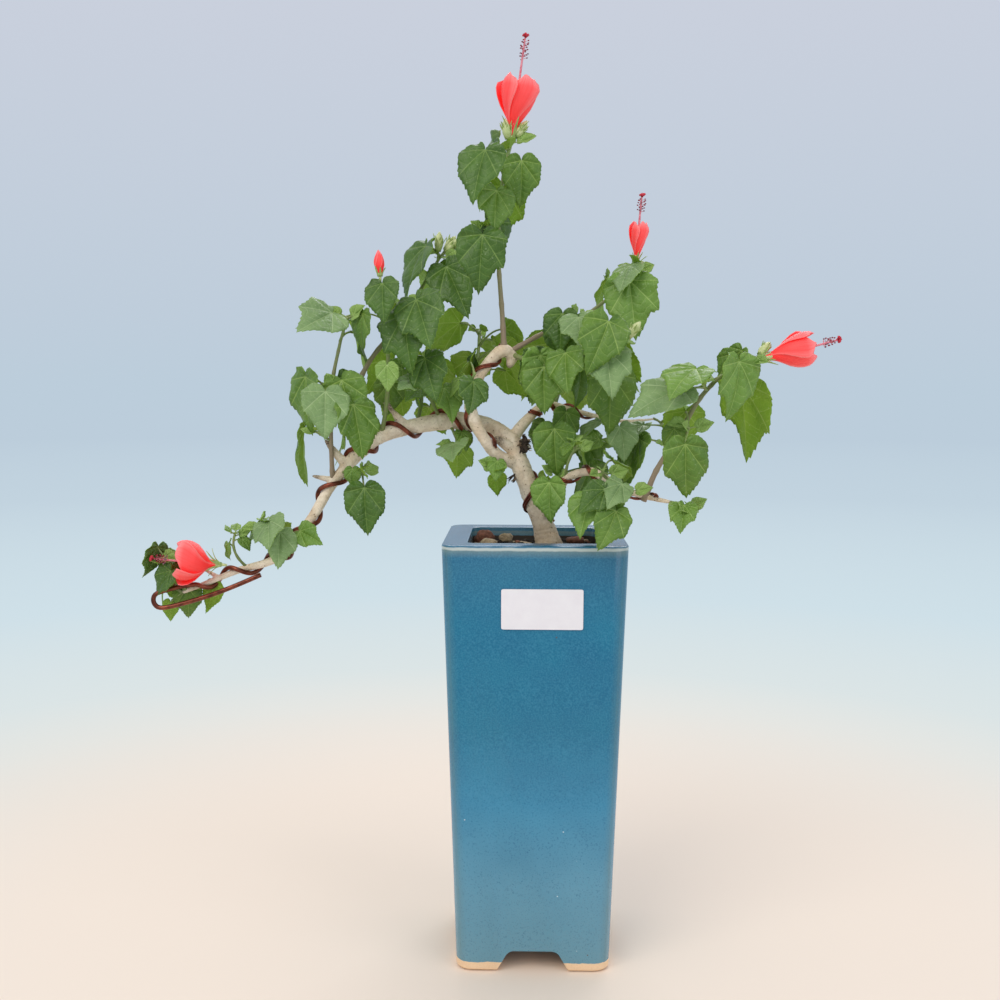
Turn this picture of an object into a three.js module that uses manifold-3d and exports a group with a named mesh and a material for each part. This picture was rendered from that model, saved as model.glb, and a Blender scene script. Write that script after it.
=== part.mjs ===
// A Turk's cap mallow grown as a small cascading bonsai, in its tall square glazed pot.
// Millimetres, +Z up, +X to the viewer's right, -Y towards the viewer.
// Places on the plant are counted from the centre of the pot's base. The whole group is moved at the
// end, so that its origin is the bottom centre of the plant and pot together.

import * as THREE from 'three';
import { mergeVertices } from 'three/addons/utils/BufferGeometryUtils.js';
import Module from 'manifold-3d';

const wasm = await Module();
wasm.setup();

// Clearance that neighbouring solids keep
const gap = 0.3;

// The pot: a tall four-sided taper with rounded edges, a broad lip and four corner feet
const pot = {
  height: 218,
  rimWidth: 92,
  baseWidth: 78,
  rimCorner: 8,
  baseCorner: 6,
  lipWidth: 12.5,
  lipRound: 2.4,
  mouthCorner: 5,
  floorTop: 20,
  floorWidth: 59,
  footChamfer: 1.2,
  footCutHeight: 10.2,
  footCutBottom: 38.4,
  footCutTop: 24.3,
  footCutRound: 3,
  drainRadius: 7.5,
  cornerSteps: 3,
};

// Soil fills the pot to just under the lip
const soil = { top: 211.5, edgeDrop: 1.6, edgeWidth: 5 };

// The blank sticker on the front of the pot: its centre, and its size
const label = { x: 3.6, z: 187, width: 40, height: 20, thick: 0.3, corner: 1 };

// Larger stones lying on the soil: centre x and y, length, width, height
const stones = [
  [-26.5, 20, 11, 9, 7],
  [-15.5, 23, 9, 7, 5.4],
  [-24, 2, 9, 7, 5],
  [22, 14, 10, 8, 5],
  [14, -20, 9, 7, 4.6],
];

// Limbs: x, y, z and radius at each change of direction, from the foot to the tip
const limbs = {
  trunk: [
    [8.4, 0, 205, 9.4],
    [7.6, 0, 212, 6.9],
    [5, 0, 222, 5.7],
    [-1, -2, 238, 5.2],
    [-7, -2, 253, 4.9],
    [-12, 2, 268, 4.4],
  ],
  crown: [
    [-9, -2, 255, 3.3],
    [-19, -8, 260, 3.4],
    [-27, -10, 270, 3.0],
    [-33, -10, 284, 3.2],
    [-31, -9, 295, 2.9],
    [-24, -8, 307, 2.8],
    [-16, -6, 313.4, 3.4],
    [-11, -3, 310, 2.7],
  ],
  left: [
    [-12, 2, 267, 4.6],
    [-24, 6, 274, 4.7],
    [-40, 6, 277.2, 4.7],
    [-62, 1, 274.5, 4.1],
    [-80, -6, 269, 3.7],
    [-92, -11, 259, 3.4],
    [-103, -15, 245.5, 2.7],
    [-113, -18, 229, 2.5],
    [-124, -21, 214, 2.4],
    [-133, -22, 207, 2.1],
    [-150, -24, 202, 1.7],
    [-165, -26, 196, 1.4],
    [-178, -27, 191, 1.0],
  ],
  rightUpper: [
    [-12, 3, 268, 3.4],
    [-3, 7, 279, 2.6],
    [6, 10, 285.5, 2.0],
    [22, 14, 282, 1.5],
    [46, 18, 277, 1.0],
    [64, 21, 278, 0.7],
  ],
  rightLower: [
    [3, -1, 225, 2.8],
    [11, -12, 239, 2.4],
    [16, -19, 249, 2.1],
    [28, -27, 253, 2.2],
    [41, -36, 246, 1.9],
    [57, -44, 241.5, 1.3],
    [65, -47, 240, 0.9],
  ],
  top: [
    [-16, -6, 312, 1.6],
    [-17, -6, 330, 1.25],
    [-19, -8, 358, 1.05],
    [-19, -8, 378, 0.95],
  ],
  leftUpright: [
    [-103, -15, 246, 1.3],
    [-103, -19, 270, 1.05],
    [-102, -20, 296, 0.95],
    [-98, -17, 318, 0.8],
  ],
  leftCrown: [
    [-92.5, -9, 261, 1.6],
    [-93, -11, 288, 1.3],
    [-85, -8, 307, 1.2],
    [-70, -3, 327, 1.05],
    [-59, 1, 345, 0.9],
  ],
  rightTop: [
    [-13, -5, 313, 1.4],
    [5, 2, 323, 1.1],
    [24, 8, 331, 1.0],
    [38, 12, 341, 0.85],
  ],
  farRight: [
    [53, -43, 242, 1.5],
    [58, -45, 255, 1.3],
    [68, -47, 272, 1.2],
    [78, -48, 290, 1.1],
    [86, -47, 299, 1.0],
  ],
};

// Where the long left bough is parted, at its bend, as a share of its length
const leftParting = 0.42;
const partingGap = 0.004;

// Dead twigs and pruned stumps: limb, place along it, which way it points, length, radius
const stubs = [
  ['trunk', 0.92, [-0.9, -0.5, 0.5], 9, 2.6],
  ['trunk', 0.6, [0.8, -0.6, 0.3], 6.5, 1.4],
  ['left', 0.262, [-0.75, -0.5, 0.65], 15, 1.3],
  ['left', 0.28, [-0.45, -0.5, 0.9], 12, 1.1],
  ['left', 0.446, [-0.7, -0.3, 0.8], 13, 1.9],
  ['left', 0.49, [-0.8, -0.2, 0.1], 9, 1.3],
  ['left', 0.67, [-0.9, -0.4, 0.3], 17, 1.3],
  ['left', 0.7, [-0.8, -0.6, 0.9], 12, 1.0],
  ['left', 0.884, [-0.9, 0.4, 0.3], 10, 0.9],
  ['crown', 0.98, [-0.3, 0.2, -0.9], 4, 2.2],
];

// Training wire: the limb it is wound on, where it starts and ends on it, its turns, the angle of
// the first turn, and its radius
const wires = [
  { name: 'wire_left', limb: 'left', from: 0.13, to: 0.955, turns: 7.6, first: 40, radius: 1.2 },
  { name: 'wire_crown', limb: 'crown', from: 0.2, to: 0.86, turns: 2.6, first: 200, radius: 1.0 },
  { name: 'wire_trunk', limb: 'trunk', from: 0.42, to: 0.8, turns: 1.2, first: 300, radius: 1.0 },
  {
    name: 'wire_right_upper', limb: 'rightUpper',
    from: 0.23, to: 0.74, turns: 3, first: 300, radius: 0.9,
  },
  {
    name: 'wire_right_lower', limb: 'rightLower',
    from: 0.3, to: 0.86, turns: 3, first: 320, radius: 0.9,
  },
];

// The free end of the left wire turns back under the bough: height of the turn, and where it ends
const wireHook = { turnX: -187, turnZ: 188, turnRadius: 4.5, y: -31.5, endX: -137, endZ: 201 };

// Shoots, one for each mass of leaves. on, at: the limb and the place along it where the shoot stands.
// bend, tip: where the stem goes. leaves: how many. blade: leaf length at the foot and at the tip.
// turn: direction of the first leaf round the stem. light: which way the blades turn their faces.
const front = [0, -1, 0.5];
const back = [0, 1, 0.5];
const shoots = {
  foliage_top: {
    on: 'top', at: 1, bend: [-18, -7, 400], tip: [-13, -4, 417], stem: [1.0, 0.9],
    leaves: 5, from: 0.07, blade: [20, 38], turn: 195, droop: 71, light: front, seed: 283,
    flower: { toward: [7, 1, 51], petals: 24, width: 21, column: 20 }, buds: 2,
  },
  foliage_top_low: {
    on: 'top', at: 0.88, bend: [-22, -12, 370], tip: [-25, -13, 374], stem: [0.9, 0.7],
    leaves: 2, from: 0.17, blade: [25, 41], turn: 110, droop: 64, light: front, seed: 905,
  },
  foliage_left_upright: {
    on: 'leftUpright', at: 1, bend: [-96, -16, 324], tip: [-95, -15, 330], stem: [0.8, 0.7],
    leaves: 4, from: 0.11, blade: [34, 18], turn: 255, droop: 26, light: front, seed: 229,
  },
  foliage_left_outer: {
    on: 'leftUpright', at: 0.62, bend: [-104, -25, 291], tip: [-105, -26, 295], stem: [0.8, 0.7],
    leaves: 5, from: 0.15, blade: [23, 26], turn: 160, droop: 59, light: front, seed: 937,
  },
  foliage_left_outer_low: {
    on: 'leftUpright', at: 0.3, bend: [-107, -20, 270], tip: [-109, -20, 272], stem: [0.7, 0.6],
    leaves: 2, from: 0.43, blade: [27, 38], turn: 225, droop: 59, light: front, seed: 247,
  },
  foliage_left_inner: {
    on: 'left', at: 0.33, bend: [-70, -20, 303], tip: [-78, -17, 346], stem: [1.2, 0.7],
    leaves: 5, from: 0.27, blade: [17, 23], turn: 45, droop: 70, light: front, seed: 21,
    flower: { toward: [-1, 0, 16], petals: 9, width: 4.5, column: 0 }, buds: 0,
  },
  foliage_left_crown: {
    on: 'leftCrown', at: 1, bend: [-55, 3, 352], tip: [-49, 4, 362], stem: [0.9, 0.7],
    leaves: 4, from: 0.05, blade: [28, 30], turn: 195, droop: 35, light: front, seed: 797, buds: 3,
  },
  foliage_left_crown_low: {
    on: 'leftCrown', at: 0.72, bend: [-68, -8, 333], tip: [-66, -10, 337], stem: [0.9, 0.7],
    leaves: 4, from: 0.05, blade: [26, 30], turn: 40, droop: 63, light: front, seed: 570,
  },
  foliage_left_middle: {
    on: 'left', at: 0.2, bend: [-56, -4, 292], tip: [-60, -8, 308], stem: [1.0, 0.7],
    leaves: 6, from: 0.32, blade: [19, 19], turn: 235, droop: 28, light: front, seed: 338,
  },
  foliage_right_top: {
    on: 'rightTop', at: 1, bend: [46, 13, 347], tip: [52, 14, 357], stem: [0.9, 0.8],
    leaves: 4, from: 0.11, blade: [28, 28], turn: 255, droop: 50, light: front, seed: 538,
    flower: { toward: [3, 0, 36], petals: 17, width: 10, column: 14 }, buds: 0,
  },
  foliage_right_top_low: {
    on: 'rightTop', at: 0.5, bend: [18, 0, 328], tip: [22, -3, 331], stem: [0.9, 0.7],
    leaves: 4, from: 0.24, blade: [21, 24], turn: 20, droop: 62, light: front, seed: 324,
  },
  foliage_right_middle: {
    on: 'crown', at: 0.94, bend: [14, -18, 300], tip: [44, -26, 316], stem: [1.3, 0.8],
    leaves: 9, from: 0.05, blade: [24, 28], turn: 140, droop: 73, light: front, seed: 456, buds: 1,
  },
  foliage_far_right: {
    on: 'farRight', at: 1, bend: [94, -44, 304], tip: [105, -42, 308], stem: [1.0, 0.9],
    leaves: 4, from: 0.06, blade: [42, 18], turn: 170, droop: 72, light: front, seed: 398,
    flower: { toward: [39, 2, 10], petals: 21, width: 17, column: 12 }, buds: 1,
  },
  foliage_far_right_inner: {
    on: 'farRight', at: 0.86, bend: [79, -54, 294], tip: [78, -56, 297], stem: [0.9, 0.7],
    leaves: 2, from: 0.12, blade: [36, 25], turn: 285, droop: 29, light: front, seed: 543,
  },
  foliage_far_right_low: {
    on: 'farRight', at: 0.55, bend: [71, -53, 274], tip: [72, -55, 276], stem: [0.9, 0.7],
    leaves: 3, from: 0.11, blade: [16, 30], turn: 315, droop: 72, light: front, seed: 178,
  },
  foliage_right_inner: {
    on: 'rightUpper', at: 0.58, bend: [14, 8, 276], tip: [9, -2, 266], stem: [0.9, 0.7],
    leaves: 4, from: 0.05, blade: [13, 30], turn: 225, droop: 61, light: front, seed: 568,
  },
  foliage_right_mid: {
    on: 'rightUpper', at: 0.72, bend: [40, 6, 276], tip: [42, -4, 266], stem: [0.9, 0.7],
    leaves: 4, from: 0.15, blade: [20, 22], turn: 335, droop: 30, light: front, seed: 57,
  },
  foliage_right_end: {
    on: 'rightUpper', at: 1, bend: [70, 16, 276], tip: [68, 4, 264], stem: [0.7, 0.6],
    leaves: 4, from: 0.11, blade: [22, 23], turn: 235, droop: 45, light: front, seed: 291,
  },
  foliage_low_twig: {
    on: 'rightLower', at: 0.32, bend: [15, -24, 258], tip: [21, -24, 266], stem: [0.8, 0.6],
    leaves: 2, from: 0.49, blade: [14, 11], turn: 140, droop: 32, light: front, seed: 36,
  },
  foliage_low_middle: {
    on: 'rightLower', at: 0.63, bend: [31, -33, 254], tip: [33, -36, 253], stem: [0.8, 0.7],
    leaves: 2, from: 0.31, blade: [17, 21], turn: 305, droop: 32, light: front, seed: 878,
  },
  foliage_low_front: {
    on: 'rightLower', at: 0.7, bend: [44, -46, 246], tip: [45, -50, 245], stem: [0.8, 0.7],
    leaves: 4, from: 0.4, blade: [14, 22], turn: 340, droop: 37, light: front, seed: 832,
  },
  foliage_low_end: {
    on: 'rightLower', at: 1, bend: [70, -52, 240], tip: [73, -54, 238], stem: [0.8, 0.6],
    leaves: 3, from: 0.19, blade: [11, 15], turn: 55, droop: 33, light: front, seed: 425,
  },
  foliage_trunk_right: {
    on: 'trunk', at: 0.62, bend: [8, -8, 246], tip: [11, -12, 250], stem: [0.9, 0.6],
    leaves: 3, from: 0.21, blade: [13, 22], turn: 245, droop: 59, light: front, seed: 685,
  },
  foliage_trunk_left: {
    on: 'crown', at: 0.08, bend: [-16, -12, 255], tip: [-20, -14, 253], stem: [0.8, 0.6],
    leaves: 2, from: 0.22, blade: [17, 12], turn: 290, droop: 58, light: front, seed: 122,
  },
  foliage_under_left: {
    on: 'left', at: 0.19, bend: [-38, -2, 266], tip: [-42, -5, 262], stem: [0.9, 0.6],
    leaves: 3, from: 0.18, blade: [12, 18], turn: 315, droop: 25, light: front, seed: 596,
  },
  foliage_left_low: {
    on: 'left', at: 0.66, bend: [-127, -26, 222], tip: [-137, -26, 226], stem: [0.9, 0.6],
    leaves: 7, from: 0.05, blade: [15, 18], turn: 250, droop: 26, light: front, seed: 399,
  },
  foliage_left_hanging: {
    on: 'left', at: 0.47, bend: [-92, -22, 254], tip: [-86, -24, 252], stem: [0.8, 0.6],
    leaves: 2, from: 0.67, blade: [12, 24], turn: 310, droop: 69, light: front, seed: 177,
  },
  foliage_left_far: {
    on: 'left', at: 0.81, bend: [-154, -28, 212], tip: [-150, -28, 222], stem: [0.8, 0.6],
    leaves: 4, from: 0.4, blade: [11, 9], turn: 310, droop: 72, light: front, seed: 208,
  },
  foliage_left_tip: {
    on: 'left', at: 1, bend: [-184, -28, 196], tip: [-189, -28, 208], stem: [0.8, 0.6],
    leaves: 7, from: 0.05, blade: [16, 16], turn: 190, droop: 71, light: front, seed: 589,
    flower: { toward: [-38, -4, 4], petals: 16, width: 18, column: 12, at: [-157, -31, 206] }, buds: 0,
  },
  foliage_hook: {
    on: 'crown', at: 0.55, bend: [-33, -20, 298], tip: [-30, -20, 302], stem: [0.8, 0.6],
    leaves: 3, from: 0.2, blade: [16, 20], turn: 300, droop: 35, light: front, seed: 859,
  },
  foliage_back_left: {
    on: 'left', at: 0.25, bend: [-58, 24, 292], tip: [-64, 34, 312], stem: [1.2, 0.8],
    leaves: 8, from: 0.25, blade: [26, 26], turn: 40, droop: 45, light: back, seed: 41,
  },
  foliage_back_middle: {
    on: 'crown', at: 0.47, bend: [-30, 20, 308], tip: [-30, 34, 326], stem: [1.2, 0.8],
    leaves: 7, from: 0.3, blade: [26, 26], turn: 80, droop: 45, light: back, seed: 42,
  },
  foliage_back_right: {
    on: 'rightUpper', at: 0.46, bend: [16, 30, 300], tip: [22, 40, 318], stem: [1.1, 0.8],
    leaves: 7, from: 0.3, blade: [26, 26], turn: 120, droop: 45, light: back, seed: 43,
  },
};

// Leaf outline on one side of the midrib, from the notch at the stalk to the tip, for a blade 1 long
const leafOutline = [[0.26, -0.08], [0.43, 0.27], [0.25, 0.73]];
const leaf = {
  thick: 0.014,
  leastThick: 0.4,
  fold: 0.16,
  curl: 0.2,
  midrib: 0.38,
  stalk: 0.55,
  stalkRadius: 0.62,
};

// A spiral of leaves turns by this much from one leaf to the next
const leafTurn = 137.5;
const mostCrossing = 1.2;
const limbSides = 8;
const wireSides = 5;
const wireSteps = 7;
const twigSides = 4;
const tries = 6;
const tryTurn = 40;
const up = new THREE.Vector3(0, 0, 1);
const radians = THREE.MathUtils.degToRad;

// Random numbers that come out the same each time for the same seed
function seeded(seed) {
  let state = seed * 7919;
  const next = () => {
    state = (state * 16807) % 2147483647;
    return state / 2147483647;
  };
  next();
  next();
  return next;
}

function vector([x, y, z]) {
  return new THREE.Vector3(x, y, z);
}

// A closed skin over rings of points that all have the same count, with flat ends
function loft(rings) {
  const count = rings[0].length;
  const positions = rings.flat().flatMap((p) => [p.x, p.y, p.z]);
  const index = [];
  for (let r = 0; r + 1 < rings.length; r++) {
    for (let k = 0; k < count; k++) {
      const a = r * count + k;
      const b = r * count + ((k + 1) % count);
      index.push(a, b, b + count, a, b + count, a + count);
    }
  }
  const last = (rings.length - 1) * count;
  for (let k = 1; k + 1 < count; k++) {
    index.push(0, k + 1, k);
    index.push(last, last + k, last + k + 1);
  }
  const geometry = new THREE.BufferGeometry();
  geometry.setAttribute('position', new THREE.Float32BufferAttribute(positions, 3));
  geometry.setIndex(index);
  return geometry;
}

function solid(geometry) {
  const bare = geometry.clone();
  bare.deleteAttribute('normal');
  bare.deleteAttribute('uv');
  const merged = mergeVertices(bare, 1e-4);
  const vertProperties = new Float32Array(merged.attributes.position.array);
  const triVerts = new Uint32Array(merged.index.array);
  return new wasm.Manifold(new wasm.Mesh({ numProp: 3, vertProperties, triVerts }));
}

function toGeometry(body) {
  const mesh = body.getMesh();
  const geometry = new THREE.BufferGeometry();
  geometry.setAttribute('position', new THREE.Float32BufferAttribute(mesh.vertProperties, 3));
  geometry.setIndex(new THREE.Uint32BufferAttribute(mesh.triVerts, 1));
  geometry.computeVertexNormals();
  return geometry;
}

// A fused body without its loose scraps and sealed hollows
function mainBody(body) {
  const pieces = body.decompose();
  return pieces.reduce((best, piece) => (piece.volume() > best.volume() ? piece : best));
}

// Directions across a line of points, carried along it without twisting
function framesAlong(points) {
  let side = null;
  return points.map((point, k) => {
    const before = points[Math.max(k - 1, 0)];
    const after = points[Math.min(k + 1, points.length - 1)];
    const ahead = after.clone().sub(before).normalize();
    if (side === null) {
      const guide = Math.abs(ahead.z) < 0.8 ? up : new THREE.Vector3(1, 0, 0);
      side = new THREE.Vector3().crossVectors(ahead, guide);
    }
    side = side.clone().addScaledVector(ahead, -side.dot(ahead)).normalize();
    return { point, ahead, side, over: new THREE.Vector3().crossVectors(ahead, side) };
  });
}

// A round tapering limb through points, with a radius at each
function tube(points, radii, sides) {
  const rings = framesAlong(points).map(({ point, side, over }, k) => (
    Array.from({ length: sides }, (_, n) => {
      const angle = (2 * Math.PI * n) / sides;
      return point.clone()
        .addScaledVector(side, radii[k] * Math.cos(angle))
        .addScaledVector(over, radii[k] * Math.sin(angle));
    })
  ));
  return solid(loft(rings));
}

// The smooth line and the radius of a limb at any share of its length
function limbLine(rows) {
  const curve = new THREE.CatmullRomCurve3(rows.map(([x, y, z]) => new THREE.Vector3(x, y, z)));
  return {
    at: (share) => curve.getPoint(share),
    radius: (share) => {
      const place = share * (rows.length - 1);
      const k = Math.min(Math.floor(place), rows.length - 2);
      return THREE.MathUtils.lerp(rows[k][3], rows[k + 1][3], place - k);
    },
    steps: (rows.length - 1) * 2,
  };
}

const lines = Object.fromEntries(Object.entries(limbs).map(([name, rows]) => [name, limbLine(rows)]));

// A stretch of a limb, or a fatter copy of it that marks out the room it needs
function limbSolid(name, from = 0, to = 1, extra = 0) {
  const line = lines[name];
  const steps = Math.max(4, Math.round(line.steps * (to - from)));
  const shares = Array.from({ length: steps + 1 }, (_, k) => from + ((to - from) * k) / steps);
  const points = shares.map((share) => line.at(share));
  const stretch = (end, inner) => end.clone().sub(inner).setLength(extra);
  points[0].add(stretch(points[0], points[1]));
  points[steps].add(stretch(points[steps], points[steps - 1]));
  const sides = line.radius(0) < 2 ? 6 : limbSides;
  return tube(points, shares.map((share) => line.radius(share) + extra), sides);
}

// A dead twig or stump, thick at its foot, sunk into its limb
function stubSolid([name, at, toward, length, radius], extra) {
  const start = lines[name].at(at);
  const ahead = vector(toward).normalize();
  const reach = lines[name].radius(at) + length;
  const knee = start.clone().addScaledVector(ahead, reach * 0.6);
  const end = start.clone().addScaledVector(ahead, reach + extra).addScaledVector(up, length * 0.12);
  const radii = [radius * 1.5, radius, radius * 0.55].map((r) => r + extra);
  return tube([start, knee, end], radii, twigSides);
}

// A limb with its dead twigs, or the room that it takes up
function barkSolid(name, from = 0, to = 1, extra = 0) {
  return stubs
    .filter(([limb, at]) => limb === name && at >= from && at < to)
    .reduce((joined, stub) => joined.add(stubSolid(stub, extra)), limbSolid(name, from, to, extra));
}

// Training wire wound on a limb as a helix that lies just clear of the bark
function wirePoints({ limb, from, to, turns, first, radius }) {
  const line = lines[limb];
  const steps = Math.round(turns * wireSteps);
  const shares = Array.from({ length: steps + 1 }, (_, k) => from + ((to - from) * k) / steps);
  const frames = framesAlong(shares.map((share) => line.at(share)));
  return frames.map(({ point, side, over }, k) => {
    const angle = radians(first) + (2 * Math.PI * turns * k) / steps;
    const reach = (line.radius(shares[k]) + gap + radius) / Math.cos(Math.PI / wireSteps);
    return point.clone()
      .addScaledVector(side, reach * Math.cos(angle))
      .addScaledVector(over, reach * Math.sin(angle));
  });
}

// The loop at the far end of the left wire, and its straight run back under the bough
function hookPoints({ turnX, turnZ, turnRadius, y, endX, endZ }) {
  const points = [];
  const turnSteps = 6;
  for (let k = 0; k <= turnSteps; k++) {
    const angle = radians(100 + (170 * k) / turnSteps);
    const x = turnX + turnRadius * Math.cos(angle);
    const z = turnZ + turnRadius * Math.sin(angle);
    points.push(new THREE.Vector3(x, y, z));
  }
  const runSteps = 6;
  const start = points[points.length - 1];
  const end = new THREE.Vector3(endX, y, endZ);
  for (let k = 1; k <= runSteps; k++) {
    const point = start.clone().lerp(end, k / runSteps);
    point.z -= 1.6 * Math.sin((Math.PI * k) / runSteps);
    points.push(point);
  }
  return points;
}

function wireSolid(wire) {
  const points = wirePoints(wire);
  if (wire.limb === 'left') {
    points.push(...hookPoints(wireHook));
  }
  return tube(points, points.map(() => wire.radius), wireSides);
}

// A leaf in one closed skin: a four-sided stalk that runs into a blade with a notch at its foot.
// The blade is folded a little on the midrib, and its tip curls down.
function leafSolid({ foot, neck, base, tipward, face, across, blade }, scale = 1, spare = 0) {
  const length = blade * scale;
  const thick = Math.max(leaf.thick * length, leaf.leastThick) + spare;
  const neckWidth = leaf.stalkRadius + spare / 2;
  const points = [];
  const ringAt = (centre, ahead, half) => {
    const overRing = new THREE.Vector3().crossVectors(across, ahead).normalize();
    const sideRing = new THREE.Vector3().crossVectors(ahead, overRing);
    for (const [s, t] of [[-1, 1], [1, 1], [1, -1], [-1, -1]]) {
      points.push(centre.clone().addScaledVector(sideRing, s * half).addScaledVector(overRing, t * half));
    }
  };
  ringAt(foot, neck.clone().sub(foot).normalize(), neckWidth);
  ringAt(neck, base.clone().sub(foot).normalize(), neckWidth * 0.8);
  const at = (x, y, sign) => {
    const rise = leaf.fold * Math.abs(x) - leaf.curl * y * y;
    return base.clone().addScaledVector(across, x * length).addScaledVector(tipward, y * length)
      .addScaledVector(face, rise * length + (sign * thick) / 2);
  };
  const notch = neckWidth / length;
  const otherSide = leafOutline.toReversed().map(([x, y]) => [-x, y]);
  const rim = [[notch, 0], ...leafOutline, [0, 1], ...otherSide, [-notch, 0]];
  const count = rim.length;
  const flat = [...rim, [0, leaf.midrib]];
  flat.forEach(([x, y]) => points.push(at(x, y, 1)));
  flat.forEach(([x, y]) => points.push(at(x, y, -1)));
  const top = 8;
  const below = top + flat.length;
  const mouth = [top + count - 1, top, below, below + count - 1];
  const index = [0, 2, 1, 0, 3, 2];
  const band = (first, second) => first.forEach((a, k) => {
    const n = (k + 1) % 4;
    index.push(a, second[n], second[k], a, first[n], second[n]);
  });
  band([0, 1, 2, 3], [4, 5, 6, 7]);
  band([4, 5, 6, 7], mouth);
  for (let k = 0; k < count; k++) {
    const next = (k + 1) % count;
    index.push(top + count, top + k, top + next);
    index.push(below + count, below + next, below + k);
    if (next !== 0) {
      index.push(top + k, below + k, below + next, top + k, below + next, top + next);
    }
  }
  const geometry = new THREE.BufferGeometry();
  geometry.setAttribute('position', new THREE.Float32BufferAttribute(points.flatMap((p) => p.toArray()), 3));
  geometry.setIndex(index);
  return solid(geometry);
}

// Where the leaves of a shoot go: a spiral round its stem, each blade hanging from an arching stalk
function leafPlaces(shoot, curve) {
  const random = seeded(shoot.seed);
  const spread = (amount) => amount * (2 * random() - 1);
  const places = [];
  for (let k = 0; k < shoot.leaves; k++) {
    const share = (k + 0.5 + spread(0.45)) / shoot.leaves;
    const along = shoot.from + (1 - shoot.from) * share;
    const turn = shoot.turn + leafTurn * k + spread(50);
    const blade = THREE.MathUtils.lerp(shoot.blade[0], shoot.blade[1], share) * (1 + spread(0.28));
    const droop = shoot.droop + spread(26);
    const stalk = blade * (leaf.stalk + spread(0.25));
    const roll = spread(30);
    const options = [];
    for (let go = 0; go < tries; go++) {
      const wider = { turn: turn + tryTurn * go, blade: blade * (1 - 0.05 * go), droop, stalk, roll };
      options.push(leafPlace(curve, along, wider, shoot.light));
    }
    places.push(options);
  }
  return places;
}

function leafPlace(curve, along, { turn, blade, droop, stalk, roll }, light) {
  const foot = curve.getPoint(along);
  const ahead = curve.getTangent(along);
  const guide = Math.abs(ahead.z) < 0.9 ? up : new THREE.Vector3(1, 0, 0);
  const side = new THREE.Vector3().crossVectors(ahead, guide).normalize();
  const over = new THREE.Vector3().crossVectors(ahead, side);
  const radial = side.multiplyScalar(Math.cos(radians(turn))).addScaledVector(over, Math.sin(radians(turn)));
  const out = radial.clone().addScaledVector(ahead, 0.35);
  out.z = 0;
  out.normalize();
  const lift = radial.clone().addScaledVector(ahead, 0.4).addScaledVector(up, 0.45).normalize();
  const neck = foot.clone().addScaledVector(lift, stalk * 0.6).addScaledVector(out, stalk * 0.1);
  const base = neck.clone().addScaledVector(out, stalk * 0.38).addScaledVector(up, -stalk * 0.06);
  const fall = radians(droop);
  const tipward = out.clone().multiplyScalar(Math.cos(fall)).addScaledVector(up, -Math.sin(fall));
  const face = out.clone().add(vector(light).multiplyScalar(1.3)).addScaledVector(up, 0.4);
  face.addScaledVector(tipward, -face.dot(tipward)).normalize().applyAxisAngle(tipward, radians(roll));
  const across = new THREE.Vector3().crossVectors(tipward, face);
  return { foot, neck, base, tipward, face, across, blade };
}

// A bud on its stalk: distance along it and radius
const budRows = [[0, 0.7], [5, 0.7], [6.5, 2.2], [10, 2.7], [14, 0.8]];

// A flower: green calyx, petals furled into a cup, and the long column with its anthers
function flowerSolid(start, { toward, petals, width, column }) {
  const ahead = vector(toward).normalize();
  const calyx = petals * 0.42;
  const rows = [
    [-1.5, 1.1], [0, width * 0.17], [calyx * 0.4, width * 0.26], [calyx, width * 0.27],
    [calyx + petals * 0.35, width * 0.42], [calyx + petals * 0.7, width * 0.5],
    [calyx + petals, width * 0.36],
  ];
  const points = rows.map(([rise]) => start.clone().addScaledVector(ahead, rise));
  const cup = tube(points, rows.map((row) => row[1]), 8);
  if (column === 0) {
    return cup;
  }
  const rim = calyx + petals - 3;
  const pin = [[rim, 0.7], [rim + column * 0.65, 0.7], [rim + column * 0.8, 1.9], [rim + column + 3, 1.2]];
  const pinPoints = pin.map(([rise]) => start.clone().addScaledVector(ahead, rise));
  return cup.add(tube(pinPoints, pin.map((row) => row[1]), 5));
}

// Buds on short stalks near the tip of a shoot
function budSolids(shoot, curve) {
  const random = seeded(shoot.seed + 500);
  return Array.from({ length: shoot.buds ?? 0 }, (_, k) => {
    const foot = curve.getPoint(0.97 - 0.06 * k);
    const angle = 2 * Math.PI * random();
    const ahead = new THREE.Vector3(Math.cos(angle), Math.sin(angle), 0.9).normalize();
    const points = budRows.map(([rise]) => foot.clone().addScaledVector(ahead, rise));
    return tube(points, budRows.map((row) => row[1]), 6);
  });
}

// The root of a shoot: just clear of the bark of its limb, on the side its stem leaves by
function shootCurve(shoot) {
  const line = lines[shoot.on];
  const centre = line.at(shoot.at);
  const bend = vector(shoot.bend);
  const outward = bend.clone().sub(centre).normalize();
  const start = centre.addScaledVector(outward, shoot.at === 1 ? gap : 0.6 * line.radius(shoot.at));
  return new THREE.QuadraticBezierCurve3(start, bend, vector(shoot.tip));
}

// How much of a body lies inside others
function sharedVolume(probe, bodies) {
  const box = probe.boundingBox();
  return bodies.reduce((sum, { body, bounds }) => {
    const apart = [0, 1, 2].some((k) => box.min[k] > bounds.max[k] || box.max[k] < bounds.min[k]);
    return apart ? sum : sum + probe.intersect(body).volume();
  }, 0);
}

function occupied(name, body) {
  return { name, body, bounds: body.boundingBox() };
}

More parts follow.
